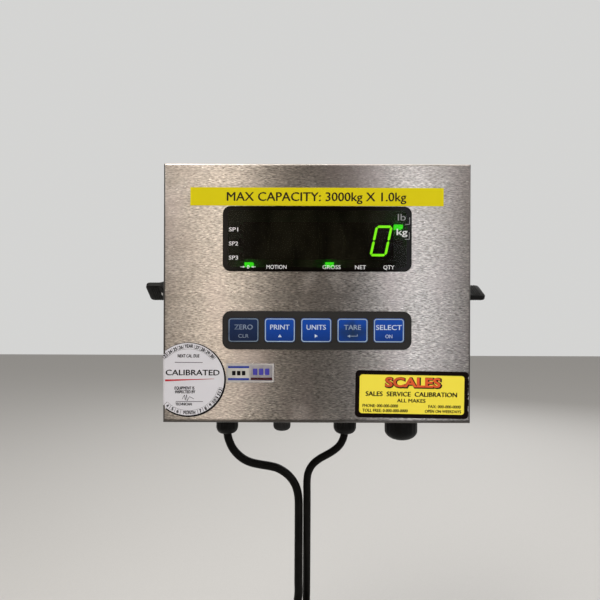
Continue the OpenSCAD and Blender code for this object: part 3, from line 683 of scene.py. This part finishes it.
def tube(name, line, diameter, material, sides=14):
    """A closed tube along a line, swept without twist."""
    solid = Solid()
    rings = []
    tangent = (line[1] - line[0]).normalized()
    across = tangent.cross(Vector((0, 1, 0))).normalized()
    for i, p in enumerate(line):
        tangent = (line[min(i + 1, len(line) - 1)] - line[max(i - 1, 0)]).normalized()
        across = (across - tangent * across.dot(tangent)).normalized()
        up = tangent.cross(across)
        spokes = [polar(diameter / 2, 360 * k / sides) for k in range(sides)]
        rings.append([p + across * u + up * v for u, v in spokes])
    solid.stack(rings)
    return solid.object(name, material)


def whole_line(route, coil, tail):
    """Route, coil and tail run on into each other."""
    lead = smooth_route(metres(route) + [coil[3]])[:-ROUTE_STEPS]
    drop = smooth_route([coil[-4], coil[-1]] + metres(tail))[ROUTE_STEPS + 1:]
    return lead + coil[1:] + drop


STEPS_PER_TURN = 80
ROUTE_STEPS = 4
MOVE = 60           # degrees a strand takes to move over
STAGGER = 20        # degrees between one strand's move and the next one's
POWER_COIL = Vector((-11.5, -91, -277.5)) * MM
POWER_R = 35 * MM
POWER_PITCH = 6.1 * MM
POWER_SPOTS = [polar(POWER_PITCH, angle) for angle in (60, 0, 120, 180, 240, 300)] + [(9.15 * MM, -5.3 * MM)]
POWER_SPOTS.insert(2, (0, 0))
CELL_COIL = Vector((-5.5, -65, -290.5)) * MM
CELL_R = 33 * MM
CELL_PITCH = 5.6 * MM


def cell_spots():
    """Rows of 3, 4, 3 and 2 strands, wound to and fro, and the spot where the last strand leaves."""
    rows = [(-4, (1, 0, -1)), (-1, (-1.5, -0.5, 0.5, 1.5)), (2, (1, 0, -1)), (5, (-0.5, 0.5, 1.5))]
    return [(CELL_PITCH * column, CELL_PITCH * row / 3 * math.sqrt(3) / 2)
            for row, columns in rows for column in columns]


power_coil = wound(POWER_COIL, POWER_R, (5.5 * MM, 6 * MM), POWER_SPOTS, 112.3, 180, 1)
cell_coil = wound(CELL_COIL, CELL_R, (7.5 * MM, -7.5 * MM), cell_spots(), 67.7, 0, -1)
power_line = whole_line(POWER_ROUTE, power_coil, POWER_TAIL)
cell_line = whole_line(CELL_ROUTE, cell_coil, CELL_TAIL)

power_cord = tube("power_cord", power_line, POWER_D, JACKET)
cell_cable = tube("cell_cable", cell_line, CELL_D, JACKET)


# ---- Far ends and ties ----

def revolve(centre, profile, sides=48, flutes=0, depth=0.0, fluted=()):
    """Rings of a turned shape about Z. Rings named in fluted have grip flutes that deep."""
    rings = []
    for i, (r, z) in enumerate(profile):
        cut = depth / 2 if i in fluted else 0.0
        ring = []
        for k in range(sides):
            turn = 360 * k / sides
            x, y = polar(r - cut * (1 - math.cos(math.radians(flutes * turn))), turn)
            ring.append(centre + Vector((x, y, z)) * MM)
        rings.append(ring)
    return rings


def top_of(node):
    middle = middle_of(node)
    return Vector((middle.x, middle.y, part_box(node)[1].z))


def ribs(count, r, grow, z, pitch, land, neck, depth):
    """Profile of a strain relief: ribs that grow downwards, land high, with narrower necks between."""
    profile = []
    for i in range(count):
        rib, top = r + grow * i, z - pitch * i
        profile += [(rib, top), (rib, top - land), (rib - depth, top - land - 0.2), (rib - depth, top - neck)]
    return profile


def build_plug():
    """Moulded mains plug hanging blades down, with a ribbed strain relief above it."""
    top = top_of("power_plug")
    body = Solid()
    relief = ribs(8, 4.0, 0.25, -1.0, 2.6, 1.5, 2.4, 0.7)
    body.stack(revolve(top, [(3.1, 0), (3.7, -0.3)] + relief + [(6.0, -22.2), (6.1, -25.5)], 32))
    # Width, depth, corner radius and height of each section of the body
    sections = [(11, 10, 5, -23.6), (17, 14, 6.5, -24.2), (23, 18, 8, -25.8), (27, 21, 8.6, -28.6),
                (28, 22, 9, -32), (27.2, 21.4, 9, -35), (26.4, 20.8, 9, -37.5), (27.2, 21.4, 9, -40),
                (28, 22, 9, -43), (28, 22, 9, -50.5), (27, 21, 8.6, -53.2), (25.5, 19.6, 8, -54)]
    body.stack([[top + Vector((x, y, z)) * MM for x, y in round_rect(w, d, r - 0.2, 7)]
                for w, d, r, z in sections])
    for side in (-1, 1):
        for step in range(5):
            z = -33.5 - 2.6 * step
            inner, outer = side * 13.9 - 0.6, side * 14.0 + 0.1
            ridge = [(inner, -5.5), (outer, -5.0), (outer, 5.0), (inner, 5.5)]
            body.stack([[top + Vector((u, v, z + dz)) * MM for u, v in ridge] for dz in (0.55, -0.55)])
    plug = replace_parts(body.object("mains_plug", PLUG, "yoke", "plug_rubber"), "power_plug")
    pins = Solid()
    for x in (-6.35, 6.35):
        for y0, y1, z0, z1, end in ((-0.7, 5.7, -53.5, -70.6, 0.8), (-0.2, 5.2, -70.6, -72.0, 0.35)):
            corners = ((-1, y0), (1, y0), (1, y1), (-1, y1))
            pins.stack([[top + Vector((x + side * w, y, z)) * MM for side, y in corners]
                        for w, z in ((0.8, z0), (end, z1))])
    ground = [(2.4, -53.5), (2.4, -71.8), (2.0, -73.0), (1.2, -73.8), (0.4, -74)]
    pins.stack(revolve(top + Vector((0, -6 * MM, 0)), ground, 24))
    return [plug, pins.object("plug_blades", BRASS, "yoke", "ground_brass")]


def build_connector():
    """Nickel-plated round connector with a knurled coupling ring."""
    top = top_of("cell_connector")
    boot = Solid()
    relief = ribs(6, 3.8, 0.45, -0.8, 2.5, 1.4, 2.3, 0.6)
    boot.stack(revolve(top, [(2.9, 0), (3.5, -0.3)] + relief + [(6.6, -15.8), (6.9, -18.4)], 32))
    shell = Solid()
    barrel = [(6.9, -18.0), (7.7, -18.2), (8.0, -18.8), (8.0, -23), (7.5, -23.4), (7.5, -24.4),
              (8.0, -24.8), (8.0, -34.6), (7.6, -35.2), (7.6, -36.2), (9.2, -36.4), (9.6, -36.9),
              (9.6, -43.4), (9.3, -43.8), (9.3, -44.4), (9.6, -44.8), (9.6, -51.2), (9.2, -51.8),
              (7.4, -52.0), (7.4, -54.7), (7.1, -55), (5.9, -55), (5.9, -50.5)]
    shell.stack(revolve(top, barrel, 168, flutes=28, depth=0.6, fluted=(11, 12, 15, 16)))
    boot_piece = boot.object("connector_boot", PLUG, "yoke", "plug_rubber")
    shell_piece = shell.object("connector_shell", NICKEL, "yoke", "connector_nickel")
    return [boot_piece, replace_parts(shell_piece, "cell_connector")]


def build_ties():
    """Nylon ties round the coils, each a band with a ratchet head and a trimmed tail."""
    ties = Solid()
    back = Vector((0, 1, 0))
    places = [(POWER_COIL, POWER_R, 10.4, 45), (POWER_COIL, POWER_R, 10.4, 225),
              (CELL_COIL, CELL_R, 11.3, 135), (CELL_COIL, CELL_R, 11.3, -45)]
    for centre, radius, grip, angle in places:
        x, z = polar(1, angle)
        out = Vector((x, 0, z))
        along = Vector((-z, 0, x))
        middle = centre + out * radius
        band = [(0, -2.1), (0, 2.1), (0.3, 2.4), (0.9, 2.3),
                (1.1, 1.9), (1.1, -1.9), (0.9, -2.3), (0.3, -2.4)]
        spokes = [polar(1, 7.5 * k) for k in range(48)]
        ties.stack([[middle + (out * u + back * v) * (grip + r) * MM + along * w * MM for r, w in band]
                    for u, v in spokes], ends=False)
        head = middle + out * (grip + 2.9) * MM
        blocks = [(3.0, 3.3, -2.3), (3.4, 3.6, -1.9), (3.4, 3.6, 1.7), (3.0, 3.2, 2.2)]
        ties.stack([[head + (along * u + back * v + out * lift) * MM
                     for u, v in round_rect(2 * w, 2 * d, 0.7, 3)] for w, d, lift in blocks])
        ends = ((-2.0, -0.55), (2.0, -0.55), (2.0, 0.55), (-2.0, 0.55))
        ties.stack([[head + (along * w + out * (lift + t) - back * reach) * MM for w, t in ends]
                    for reach, lift in ((3.2, 0.0), (5.6, 0.3), (8.4, 0.9))])
    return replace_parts(ties.object("coil_tie_bands", NYLON, "yoke", "tie_nylon"), "coil_ties")


plug_pieces = build_plug()
connector_pieces = build_connector()
tie_bands = build_ties()

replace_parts(power_cord, "power_cord_upper", "power_cord_lower", "power_cord_coil")
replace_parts(cell_cable, "cell_cable_upper", "cell_cable_lower", "cell_cable_coil")
for cord, pieces in ((power_cord, plug_pieces), (cell_cable, connector_pieces)):
    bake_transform(cord)
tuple(power_line[0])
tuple(cell_line[0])


# ---- Glands ----

def build_gland(name, node, hex_r, dome_r, bore_r):
    """Nylon gland hanging under the case: washer face, hexagon with chamfers, fluted dome nut."""
    centre = middle_of(node)
    centre.z = 0
    tip, inner_top = [corner.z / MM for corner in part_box(node)]
    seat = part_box("rear_housing")[0].z / MM - 1
    solid = Solid()
    hexagon = []
    for share, z in ((0.93, seat), (1.0, seat - 0.7), (1.0, seat - 4.3), (0.93, seat - 5.0)):
        ring = []
        for turn in (7.5 * k for k in range(48)):
            flat = math.cos(math.radians(30)) / math.cos(math.radians(turn % 60 - 30))
            x, y = polar(hex_r * min(flat, 0.965) * share, turn)
            ring.append(centre + Vector((x, y, z)) * MM)
        hexagon.append(ring)
    solid.stack(hexagon)
    drop = seat - 5.0 - tip
    knee = drop * 0.42
    profile = [(dome_r * 0.96, tip + drop + 0.4), (dome_r, tip + drop - 0.4), (dome_r, tip + knee + 0.6)]
    for i in range(1, 9):
        t = math.radians(90 * i / 8)
        profile.append((bore_r + (dome_r - bore_r) * math.cos(t) ** 0.8, tip + knee * (1 - math.sin(t))))
    if bore_r:
        profile += [(bore_r * 0.98, tip + 0.5), (bore_r * 0.98, tip + 3)]
    solid.stack(revolve(centre, profile, 72, flutes=18, depth=0.45, fluted=(1, 2)))
    thread = []
    z = seat + 0.2
    while z < inner_top:
        thread += [(hex_r * 0.76, z), (hex_r * 0.76 - 0.35, z + 0.6)]
        z += 1.2
    solid.stack(revolve(centre, thread, 36))
    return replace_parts(solid.object(name, GLAND, "head", "gland_plastic"), node)


build_gland("power_gland_nut", "power_gland", 9.6, 8.0, POWER_D / 2 / MM + 0.2)
build_gland("cell_gland_nut", "cell_gland", 9.8, 8.3, CELL_D / 2 / MM + 0.2)
build_gland("blank_gland_nut", "blank_gland", 13.4, 11.9, 0)


# ---- Wing knobs ----

def build_knob(name, node, body, side, turn):
    """Moulded wing knob: a round hub with a chamfered rim, and a ribbed blade that flares into it."""
    low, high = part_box(node)
    reach = (high.x - low.x) / MM
    axis = middle_of(node)
    axis.x = high.x if side < 0 else low.x
    y, z = polar(1, turn)
    wide = Vector((0, y, z))
    thin = Vector((0, -z, y))
    out = Vector((side, 0, 0))
    solid = Solid()

    def section(x, outline):
        return [axis + (out * x + wide * u + thin * v) * MM for u, v in outline]

    hub = ((0, 8.0), (0.4, 8.5), (4.6, 8.5), (5.5, 8.2), (6.1, 7.5), (6.4, 6.4), (6.5, 4.0))
    solid.stack([section(x, [polar(r, 7.5 * k) for k in range(48)]) for x, r in hub])
    # Distance along the axis, half width and half thickness of each section of the blade
    blade = [(4.5, 8.2, 4.6), (6.0, 8.4, 4.0), (6.8, 8.7, 3.0), (7.8, 8.95, 2.3), (9.0, 9.0, 2.0)]
    for rib in range(4):
        x = 9.6 + 1.6 * rib
        blade += [(x, 9.0, 1.85), (x + 0.25, 9.0, 2.1), (x + 0.75, 9.0, 2.1), (x + 1.0, 9.0, 1.85)]
    for k in range(7):
        c, s = polar(1, 15 * k)
        blade.append((reach - 2.6 + 2.6 * s, 6.4 + 2.6 * c, 1.0 + 0.9 * c))
    solid.stack([section(x, round_rect(2 * w, 2 * t, min(t, w) * 0.4, 5)) for x, w, t in blade])
    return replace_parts(solid.object(name, KNOB, body, "knob_plastic"), node)


build_knob("wing_knob_left", "knob_left_wing", "knob_left", -1, -34)
build_knob("wing_knob_right", "knob_right_wing", "knob_right", 1, 27)


# ---- Printing on the display window ----

def node_place(node):
    """Middle of a flat node across and up the face, and how far it stands out, in millimetres."""
    middle = middle_of(node)
    return middle.x / MM, (middle.z - FACE_Z) / MM, (FACE_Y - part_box(node)[0].y) / MM


def print_window():
    out = node_place("display_window")[2]
    white = Print(out)
    for i, z in enumerate((41.5, 32.3, 23.1)):
        white.text(f"SP{i + 1}", -54.6, z, 2.5, 5.9, bold=0.025)
    legends = (("MOTION", -33, -20), ("GROSS", 3.5, 15.3), ("NET", 24.7, 31.8), ("QTY", 43.2, 50.3))
    for words, low, high in legends:
        white.text(words, (low + high) / 2, 17.1, 2.5, (high - low), bold=0.010)
    white.text("0", -45, 17.1, 2.3, bold=0.03)
    for side in (-1, 1):
        tip = -45 + side * 2.0
        white.shape([(tip, 17.1), (tip + side * 1.5, 17.8), (tip + side * 1.5, 16.4)])
        white.bar(-45 + side * 4.2, 17.1, 1.6, 0.35)
    white.text("kg", 55.3, 40.2, 4.0, 6.9, bold=0.022)
    white.object("window_print", plastic("window_print_look", (0.72, 0.72, 0.74), 0.40, 2600, 0.01))
    dull = Print(out)
    dull.text("lb", 55.1, 49.8, 4.2, 5.2)
    for right, low, high in ((60.4, 45.0, 49.6), (60.2, 35.2, 40.0)):
        dull.bar((right - 0.2), (low + high) / 2, 0.4, (high - low))
        dull.bar((right - 1.5), (low + 0.2), 3.0, 0.4)
    dull.object("window_print_dull", plastic("window_print_dull_look", (0.27, 0.27, 0.28), 0.40, 2600, 0.01))


# ---- Printing on the keys ----

# Legend, its width in millimetres, what stands under it, and the looks of border and legend
KEYS = {"key_zero": ("ZERO", 11.9, "CLR", KEY_BORDER_DULL, KEY_PRINT_DULL),
        "key_print": ("PRINT", 12.5, "up", KEY_BORDER, KEY_PRINT),
        "key_units": ("UNITS", 12.5, "right", KEY_BORDER, KEY_PRINT),
        "key_tare": ("TARE", 10.9, "enter", KEY_BORDER, KEY_PRINT_RUBBED),
        "key_select": ("SELECT", 16.7, "ON", KEY_BORDER, KEY_PRINT)}


def print_key(node, words, width, second, border_look, legend_look):
    x, z, out = node_place(node)
    low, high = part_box(node)
    w, h = (high.x - low.x) / MM, (high.z - low.z) / MM
    edge = Print(out)
    inset, border = 0.25, 0.6
    edge.ring(round_rect(w - 2 * inset, h - 2 * inset, 1.9),
              round_rect(w - 2 * (inset + border), h - 2 * (inset + border), 1.4), x, z)
    ink = Print(out)
    ink.text(words, x, z + 2.0, 3.1, width, bold=0.02)
    under = z - 3.7
    if second == "up":
        ink.shape([(x - 1.2, under - 0.8), (x + 1.2, under - 0.8), (x, under + 1.1)])
    elif second == "right":
        ink.shape([(x - 0.9, under - 1.1), (x + 1.1, under), (x - 0.9, under + 1.1)])
    elif second == "enter":
        ink.shape([(x - 3.4, under), (x - 1.6, under - 0.9), (x - 1.6, under + 0.9)])
        ink.bar(x + 0.6, under, 4.6, 0.35)
        ink.bar(x + 3.1, under + 0.5, 0.4, 1.35)
    else:
        ink.text(second, x, under - 0.1, 2.3, 2.25 * len(second))
    edge.object(node + "_border", border_look, node)
    ink.object(node + "_legend", legend_look, node)


# ---- Printing on the labels ----

def print_tape():
    x, z, out = node_place("capacity_tape")
    ink = Print(out)
    ink.text("MAX CAPACITY: 3000kg X 1.0kg", x - 0.3, z, 5.6, 117, bold=0.028)
    ink.object("tape_print", plastic("tape_ink_look", (0.022, 0.014, 0.005), 0.45, shine=0.15))


def print_badge():
    x, z, out = node_place("maker_badge")
    left, right = x - 7.4, x + 7.2
    frame_line = Print(out)
    frame_line.ring(round_rect(30.4, 11.6, 0.5), round_rect(29.4, 10.6, 0.3), x, z)
    frame_line.bar(x - 0.1, z, 0.4, 10.8)
    frame_line.object("badge_frame", BADGE_PALE)
    for name, look, lift, bars in (
            ("badge_panel", BADGE_PALE, 0, [(left - 0.1, z, 13.6, 9.4)]),
            ("badge_blue", BADGE_BLUE, 2, [(left - 0.1, z + up, 13.6, 1.3) for up in (-3.9, 3.9)]),
            ("badge_marks", BLACK_INK, 2, [(left + on, z, 2.3, 2.9, 0.3) for on in (-3.2, 0, 3.2)]),
            ("badge_violet", BADGE_VIOLET, 0,
             [(right + on, z + 0.9, 2.9, 4.2, 0.4) for on in (-3.9, 0, 3.9)]),
            ("badge_foot", BADGE_DARK, 0, [(right + 0.2, z - 3.7, 14.0, 1.7)])):
        ink = Print(out + lift * INK)
        for bar in bars:
            ink.bar(*bar)
        ink.object(name, look)


def print_label():
    x, z, out = node_place("dealer_label")
    turn = -0.8
    yellow = Print(out, turn, (x, z))
    yellow.shape(round_rect(68.4, 25.3, 1.8), -0.1, 0.0)
    yellow.object("label_panel", LABEL_YELLOW)
    shadow = Print(out + INK, turn, (x, z))
    shadow.text("SCALES", 0.9, 7.6, 6.1, 37.6, swell=0.07)
    shadow.object("label_title_edge", BLACK_INK)
    title = Print(out + 2 * INK, turn, (x, z))
    title.text("SCALES", 0.4, 7.9, 5.7, 36.4, swell=0.035)
    title.object("label_title", plastic("orange_ink_look", (0.72, 0.10, 0.02), 0.36))
    black = Print(out + INK, turn, (x, z))
    for words, across, up, cap, width, bold in (
            ("SALES  SERVICE  CALIBRATION", -0.4, 0.2, 2.9, 59.5, 0.06),
            ("ALL MAKES", -0.4, -4.0, 2.3, 18.5, 0.05),
            ("PHONE: 000-000-0000", -20.6, -7.6, 1.9, 23.0, 0.05),
            ("FAX: 000-000-0000", 21.4, -7.6, 1.9, 21.0, 0.05),
            ("TOLL FREE: 0-000-000-0000", -17.4, -10.7, 1.9, 29.5, 0.05),
            ("OPEN ON WEEKDAYS", 20.4, -10.7, 1.9, 23.5, 0.05)):
        black.text(words, across, up, cap, width, bold)
    black.object("label_print", BLACK_INK)


STICKER_OUT = 0.15
SIGNATURE = [(-4.2, -12.6), (-2.6, -9.9), (-2.2, -13.4), (-1.2, -9.7),
             (-1.0, -13.8), (0.6, -11.0), (3.4, -12.4)]
# Words, where their middle is, height of their capitals and width
STICKER_WORDS = [("YEAR", 0.1, 22.0, 2.2, 5.5), ("MONTH", 0.5, -21.4, 2.2, 7.6),
                 ("NEXT CAL. DUE", -0.1, 15.6, 2.0, 14.0), ("CALIBRATED", 2.6, 4.7, 3.5, 35.0),
                 ("EQUIPMENT IS", -2.7, -5.4, 1.9, 12.7), ("INSPECTED BY", -2.2, -7.9, 1.9, 13.0),
                 ("TECHNICIAN", -3.2, -15.9, 1.7, 10.6)]
RING_STEP = 10          # degrees from one year or month to the next
YEARS = {23 + i: 134 - RING_STEP * i for i in range(4)} | {27 + i: 75 - RING_STEP * i for i in range(4)}
MONTHS = {4 + i: 231 + RING_STEP * i for i in range(3)} | {7 + i: 291 + RING_STEP * i for i in range(6)}


def arc_strip(ink, angles, outer, width):
    """A band along an arc, whose width follows the angle."""
    for a, b in zip(angles, angles[1:]):
        corners = ((outer, a), (outer, b), (outer - width(b), b), (outer - width(a), a))
        ink.shape([polar(r, t) for r, t in corners])


def print_sticker():
    """Round calibration sticker: rim, ring of years and months, and lines to fill in."""
    low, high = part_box("calibration_sticker")
    radius = (high.z - low.z) / 2 / MM
    middle = (high.x / MM - radius, node_place("calibration_sticker")[1])
    edge = FACE_LOW.x / MM + 1.5 - middle[0]
    black = Print(STICKER_OUT, middle=middle)
    stop = math.degrees(math.acos(edge / radius)) - 1.0
    rim = [stop * i / 60 for i in range(-60, 61)]
    arc_strip(black, rim, radius, lambda a: (0.75 + 0.55 * math.cos(math.radians(a + 40))))
    ring = radius - 2.6
    for marks, spin in ((YEARS, -90), (MONTHS, 90)):
        for mark, angle in marks.items():
            width = 1.2 * len(str(mark))
            black.text(str(mark), *polar(ring, angle), 2.2, width, bold=0.08, spin=angle + spin)
    for words, x, z, cap, width in STICKER_WORDS:
        black.text(words, x, z, cap, width, bold=0.04 if cap > 3 else 0.085)
    for a, b in zip(SIGNATURE, SIGNATURE[1:]):
        along = Vector((b[0] - a[0], b[1] - a[1])).normalized() * 0.14
        black.shape([(p[0] - side * along.y, p[1] + side * along.x)
                     for p, side in ((a, 1), (b, 1), (b, -1), (a, -1))])
    black.object("sticker_print", BLACK_INK)
    grey = Print(STICKER_OUT, middle=middle)
    for x, z, w in ((0, 11.3, 18.2), (0.5, -14.2, 17.8)):
        grey.bar(x, z, w, 0.45)
    ticks = [angle + RING_STEP / 2 for angle in (*YEARS.values(), *MONTHS.values())] + [99, 40, 226, 286]
    for angle in ticks:
        c, s = polar(1, angle)
        dash = [(ring + u, w) for u, w in ((1.5, 0.14), (-1.5, 0.14), (-1.5, -0.14), (1.5, -0.14))]
        grey.shape([(u * c - w * s, u * s + w * c) for u, w in dash])
    for first, last in ((42, 136), (227, 344)):
        arc = [first + (last - first) * i / 40 for i in range(41)]
        arc_strip(grey, arc, ring - 1.6, lambda a: 0.16)
    grey.object("sticker_ticks", plastic("grey_ink_look", (0.16, 0.15, 0.16), 0.45))
    red = Print(STICKER_OUT + INK, middle=middle)
    red.shape([(edge, -1.1), (16.7, 0.55), (16.7, 0.75), (edge, 0.1)])
    red.object("sticker_stripe", plastic("red_ink_look", (0.50, 0.022, 0.035), 0.40))


print_window()
for node, row in KEYS.items():
    print_key(node, *row)
print_tape()
print_badge()
print_label()
print_sticker()


# ---- Room: floor, world and lights ----

LIT_PLACE = Vector((0, -0.1, -0.01))        # every light faces it


def soft_light(name, place, width, height, power, color=(1, 1, 1)):
    data = bpy.data.lights.new(name, "AREA")
    data.shape = "RECTANGLE"
    data.size, data.size_y = width, height
    data.energy = power
    data.color = color
    light = link(bpy.data.objects.new(name, data))
    light.location = place
    light.rotation_euler = (LIT_PLACE - Vector(place)).to_track_quat("-Z", "Y").to_euler()
    light.visible_camera = False


def build_world():
    """Pale studio to the eye. What the steel mirrors is a dark room in front, lighter above."""
    world = bpy.data.worlds.new("studio")
    bpy.context.scene.world = world
    world.use_nodes = True
    world.node_tree.nodes.clear()
    sky = Nodes(world.node_tree)
    _, depth, height = sky.split(sky.node("TexCoord", out="Generated"))
    room = (0.020, 0.015, 0.011)
    for axis, low, high, color in (
            (height, -0.30, 0.55, (0.105, 0.078, 0.056)), (depth, -0.88, -0.45, (0.30, 0.285, 0.27)),
            (depth, -0.05, 0.55, (0.42, 0.41, 0.40)), (height, 0.45, 0.95, (0.60, 0.58, 0.55))):
        room = sky.mix(sky.ramp(axis, low, high, interpolation_type="SMOOTHSTEP"), room, color)
    seen = sky.mix(sky.node("LightPath", out="Is Camera Ray"), room, (0.66, 0.66, 0.65))
    sky.node("OutputWorld", {"Surface": sky.node("Background", {"Color": seen})}, None)


def build_floor():
    z = CAD_BOX[0].z - 25 * MM
    look = Shader("floor_look", Roughness=0.85, Specular_IOR_Level=0.2)
    grain = look.noise(900, 2, 0.5)
    look.finish(Base_Color=look.mix(look.ramp(grain, 0.3, 0.7), (0.545, 0.54, 0.53), (0.575, 0.57, 0.56)))
    floor = Solid()
    floor.add([(-2.4, -0.6, z), (2.4, -0.6, z), (2.4, 3.2, z), (-2.4, 3.2, z)], [(0, 1, 2, 3)])
    floor.object("floor", look.material, smooth=False)


build_world()
build_floor()
soft_light("strip_left", (-0.232, -1.12, 0.14), 0.12, 1.3, 1.15, (1.0, 0.90, 0.78))
soft_light("strip_right", (0.292, -1.12, 0.14), 0.10, 1.3, 1.14, (0.91, 0.94, 1.0))
soft_light("key_left", (-0.60, -0.80, 1.10), 0.7, 0.7, 10.5, (1.0, 0.97, 0.92))
soft_light("key_right", (1.05, -0.75, 0.50), 0.7, 0.7, 7, (0.97, 0.98, 1.0))
soft_light("top_panel", (0.0, -0.25, 1.0), 0.9, 0.6, 5, (1.0, 0.97, 0.93))
soft_light("back_fill", (0.5, 1.3, 0.6), 1.0, 0.8, 8)
